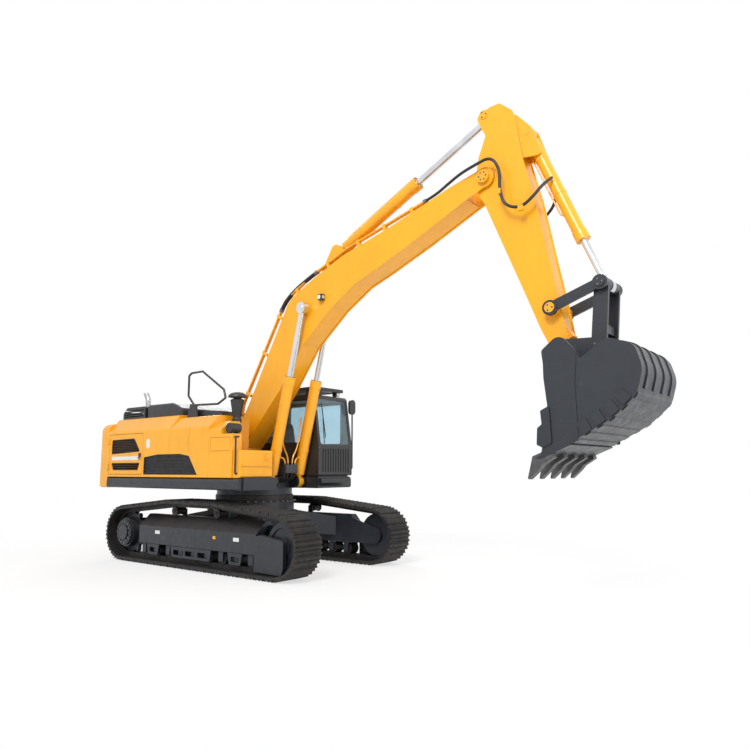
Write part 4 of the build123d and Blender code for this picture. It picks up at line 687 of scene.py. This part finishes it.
for sign, side in ((1, "left"), (-1, "right")):
    cylinder_pipes("lift_" + side, LIFT_FOOT, LIFT_EYE, sign * 0.362, 0.100, 2.010,
                   "boom_cylinder_barrels", 1)
cylinder_pipes("arm_cylinder", ARM_CYLINDER_FOOT, ARM_EYE, 0, 0.110, 2.000,
               "arm_cylinder_barrel", 1)
cylinder_pipes("bucket_cylinder", BUCKET_CYLINDER_FOOT, HEAD_PIN, 0, 0.095, 1.600,
               "bucket_cylinder_barrel", -1)

# Hose block between the lift cylinders, with hoses below it and pipes up to each barrel
BLOCK_X, BLOCK_Z = 0.985, 1.800
black, pipes, fittings, block = [], [], bmesh.new(), bmesh.new()
for sign in (1, -1):
    for y in (sign * 0.055, sign * 0.130):
        disc(fittings, (BLOCK_X, y, 1.800), (0, 0, 1), 0.024, 0.075, 12, 0.005)
        disc(fittings, (BLOCK_X, y, 1.875), (0, 0, 1), 0.017, 0.040, 6, 0.003)
        black.append([(BLOCK_X, y, 1.810), (BLOCK_X, y, 1.700), (0.930, y, 1.610),
                      (0.760, y * 0.8, 1.560)])
    pipes.append([(BLOCK_X, sign * 0.055, 1.910), (BLOCK_X, sign * 0.060, 2.030),
                  (0.990, sign * 0.170, 2.180), (BLOCK_X, sign * 0.235, 2.420),
                  (1.005, sign * 0.262, 2.800)])
    pipes.append([(BLOCK_X, sign * 0.130, 1.910), (BLOCK_X, sign * 0.150, 1.990),
                  (0.970, sign * 0.230, 2.020), (0.960, sign * 0.275, 2.030)])
line_mesh("lift_hoses", black, 0.021, "hose_rubber", "upper")
line_mesh("lift_feed_pipes", pipes, 0.014, "yellow", "boom_cylinder_barrels")
meshed("lift_fittings", fittings, "bolt_steel", "upper")
plate(block, rounded(0.10, 0.16, 0.012, (BLOCK_X, BLOCK_Z)), -0.155, 0.155)
meshed("hose_block", block, "lamp_body", "upper", False)


# Lamp lenses


def lens(bm, point, direction, radius):
    disc(bm, point, direction, radius, 0.006, 28, 0.003)


LAMP_Z = 4.955
bm = bmesh.new()
for y in (0.682, 1.310):
    lens(bm, (1.040, y, 3.347), (1, 0, 0), 0.030)
lens(bm, (2.010, -0.336, LAMP_Z), (0, -1, 0), 0.040)
meshed("cab_lamp_lenses", bm, "lamp_lens", "upper")
bm = bmesh.new()
lens(bm, (2.081, -0.295, LAMP_Z), (1, 0, 0), 0.034)
meshed("boom_lamp_lens", bm, "lamp_lens", "boom")

# Seals round the cab's windows
INNER_SIDE = 0.4915                            # the seal on the cab's inward face stands here
INNER_PANE, REAR_PANE, PANE_Z = (-0.540, 0.960), (-0.540, -0.010), (2.320, 3.180)
DOOR_PANE, DOOR_PANE_Z = (0.150, 0.985), (2.315, 3.160)
bm = bmesh.new()
frame_strip(bm, INNER_PANE, PANE_Z, INNER_SIDE, -0.010)
frame_strip(bm, REAR_PANE, PANE_Z, HOUSE_SIDE + CLEAR, 0.010)
meshed("side_window_seals", bm, "seal_rubber", "upper")
bm = bmesh.new()
frame_strip(bm, DOOR_PANE, DOOR_PANE_Z, HOUSE_SIDE + CLEAR, 0.0105, 0.015)
meshed("door_window_seal", bm, "seal_rubber", "cab_door")

# Windscreen wiper
SCREEN_FOOT, SCREEN_HEAD = (1.270, 2.290), (1.115, 3.290)


def on_screen(z, out, y, at=None):
    """A point out in front of the windscreen as it lies at height z."""
    share = (z - SCREEN_FOOT[1]) / (SCREEN_HEAD[1] - SCREEN_FOOT[1])
    x = SCREEN_FOOT[0] + share * (SCREEN_HEAD[0] - SCREEN_FOOT[0])
    return x + out, y, at or z


line_mesh("wiper_arm", [[on_screen(2.31, 0.020, 0.640, 2.300), on_screen(2.60, 0.026, 0.655),
                         on_screen(2.80, 0.024, 0.665)]], 0.009, "seal_rubber", "upper")
line_mesh("wiper_blade", [[on_screen(2.42, 0.014, 0.700), on_screen(2.80, 0.014, 0.690),
                           on_screen(3.12, 0.014, 0.680)]], 0.010, "seal_rubber", "upper")

# Bolts on the cab's front panel
bm = bmesh.new()
for y in (0.514, 1.478):
    for z in (1.760, 2.220):
        bolt(bm, (1.272, y, z), (1, 0, 0), 0.010)
meshed("front_panel_bolts", bm, "bolt_steel", "upper", False)


# Locks and handles


def handle(name, body, sign, outer, inner, reach):
    """A rounded plate with a grip on it: each one's width, height, radius and centre."""
    bm = bmesh.new()
    plate(bm, rounded(*outer), sign * (HOUSE_SIDE + CLEAR), sign * (HOUSE_SIDE + PLATE_OUT))
    plate(bm, rounded(*inner), sign * (HOUSE_SIDE + PLATE_OUT), sign * (HOUSE_SIDE + reach))
    meshed(name, bm, "lamp_body", body, False)


for name, body, sign, x in (("right_door_latch", "door_right", -1, -1.750),
                            ("left_rear_latch", "door_left_rear", 1, -1.945),
                            ("left_front_latch", "door_left_front", 1, -0.880)):
    centre = (x, LATCH_Z)
    handle(name, body, sign, (0.075, 0.130, 0.015, centre), (0.045, 0.085, 0.010, centre), 0.020)
handle("cab_door_handle", "cab_door", 1, (0.120, 0.045, 0.018, (0.110, 2.080)),
       (0.080, 0.022, 0.010, (0.130, 2.080)), 0.038)


# Blank stripe and oval where the photograph has words and a sign
MARK_IN, MARK_OUT = HOUSE_SIDE + 0.0003, HOUSE_SIDE + 0.002
bm = bmesh.new()
plate(bm, [(-2.770, 1.985), (-1.780, 1.985), (-1.740, 2.060), (-2.770, 2.060)],
      -MARK_IN, -MARK_OUT)
meshed("pale_stripe", bm, "white_mark", "door_right", False)
bm = bmesh.new()
plate(bm, rounded(0.120, 0.190, 0.058, (-1.480, 2.300), 8), -MARK_IN, -MARK_OUT)
meshed("blank_oval", bm, "white_mark", "upper", False)

# Reflectors on the track frames
REFLECTOR_Z = 0.600
side_y = outer_face("track_frame_left", 1)
white, amber = bmesh.new(), bmesh.new()
for sign in (-1, 1):
    span = (sign * (side_y + CLEAR), sign * (side_y + 0.004))
    for x in (-1.150, 1.150):
        plate(white, rounded(0.150, 0.065, 0.008, (x, REFLECTOR_Z)), *span)
    plate(amber, rounded(0.075, 0.050, 0.008, (0.560, REFLECTOR_Z)), *span)
meshed("white_reflectors", white, "white_mark", "undercarriage", False)
meshed("amber_reflectors", amber, "amber_mark", "undercarriage", False)

# Mirror glass
bm = bmesh.new()
corners = rounded(0.150, 0.280, 0.072, (1.550, 3.085), 7)
skin(bm, [[bm.verts.new(here((x, y, z))) for y, z in corners] for x in (1.1985, 1.2005)])
meshed("mirror_glass", bm, "lamp_lens", "upper", False)


# Operator's seat


def cushion(bm, centre, half, lean=0.0, seams=(), power=0.32, rows=26, columns=56):
    """Stuffed pad: a rounded box that swells in the middle, with sewn seams that dip."""
    base = Matrix.Translation(here(centre)) @ Matrix.Rotation(math.radians(lean), 4, "Y")

    def shaped(value):
        return math.copysign(abs(value) ** power, value)

    rings = []
    for i in range(1, rows):
        v = -math.pi / 2 + math.pi * i / rows
        ring = []
        for k in range(columns):
            u = 2 * math.pi * k / columns
            x = shaped(math.cos(v)) * shaped(math.cos(u))
            y = shaped(math.cos(v)) * shaped(math.sin(u))
            z = shaped(math.sin(v))
            swell = 1 + 0.14 * (1 - min(x * x, 1)) * (1 - min(y * y, 1))
            dip = sum(0.07 * math.exp(-((abs(y) - seam) / 0.035) ** 2) for seam in seams)
            if abs(z) > 0.6:
                z *= swell - dip
            ring.append(bm.verts.new(base @ Vector((x * half[0], y * half[1], z * half[2]))))
        rings.append(ring)
    skin(bm, rings)


SEAT_Y = 0.996
bm = bmesh.new()
cushion(bm, (0.115, SEAT_Y, 2.110), (0.258, 0.255, 0.060), seams=(0.55,))
cushion(bm, (-0.172, SEAT_Y, 2.475), (0.060, 0.240, 0.300), -10.5)
cushion(bm, (-0.250, SEAT_Y, 2.848), (0.046, 0.132, 0.100), -6)
seat = meshed("operator_seat_pads", bm, "seat_fabric", "upper")
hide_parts("operator_seat")
bm = bmesh.new()
plate(bm, [(-0.118, 1.722), (0.328, 1.722), (0.300, 1.800), (0.270, 1.900), (0.328, 2.045),
           (-0.118, 2.045), (-0.060, 1.900), (-0.090, 1.800)], SEAT_Y - 0.210, SEAT_Y + 0.210)
plate(bm, [(-0.110, 2.047), (0.340, 2.047), (0.350, 2.062), (-0.120, 2.062)],
      SEAT_Y - 0.240, SEAT_Y + 0.240)
stand = meshed("operator_seat_stand", bm, "grille_black", "upper", False)
bevel = stand.modifiers.new("edges", "BEVEL")
bevel.width = 0.006
bevel.segments = 2


{"cad": cad_box, "visual": plain(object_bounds())}
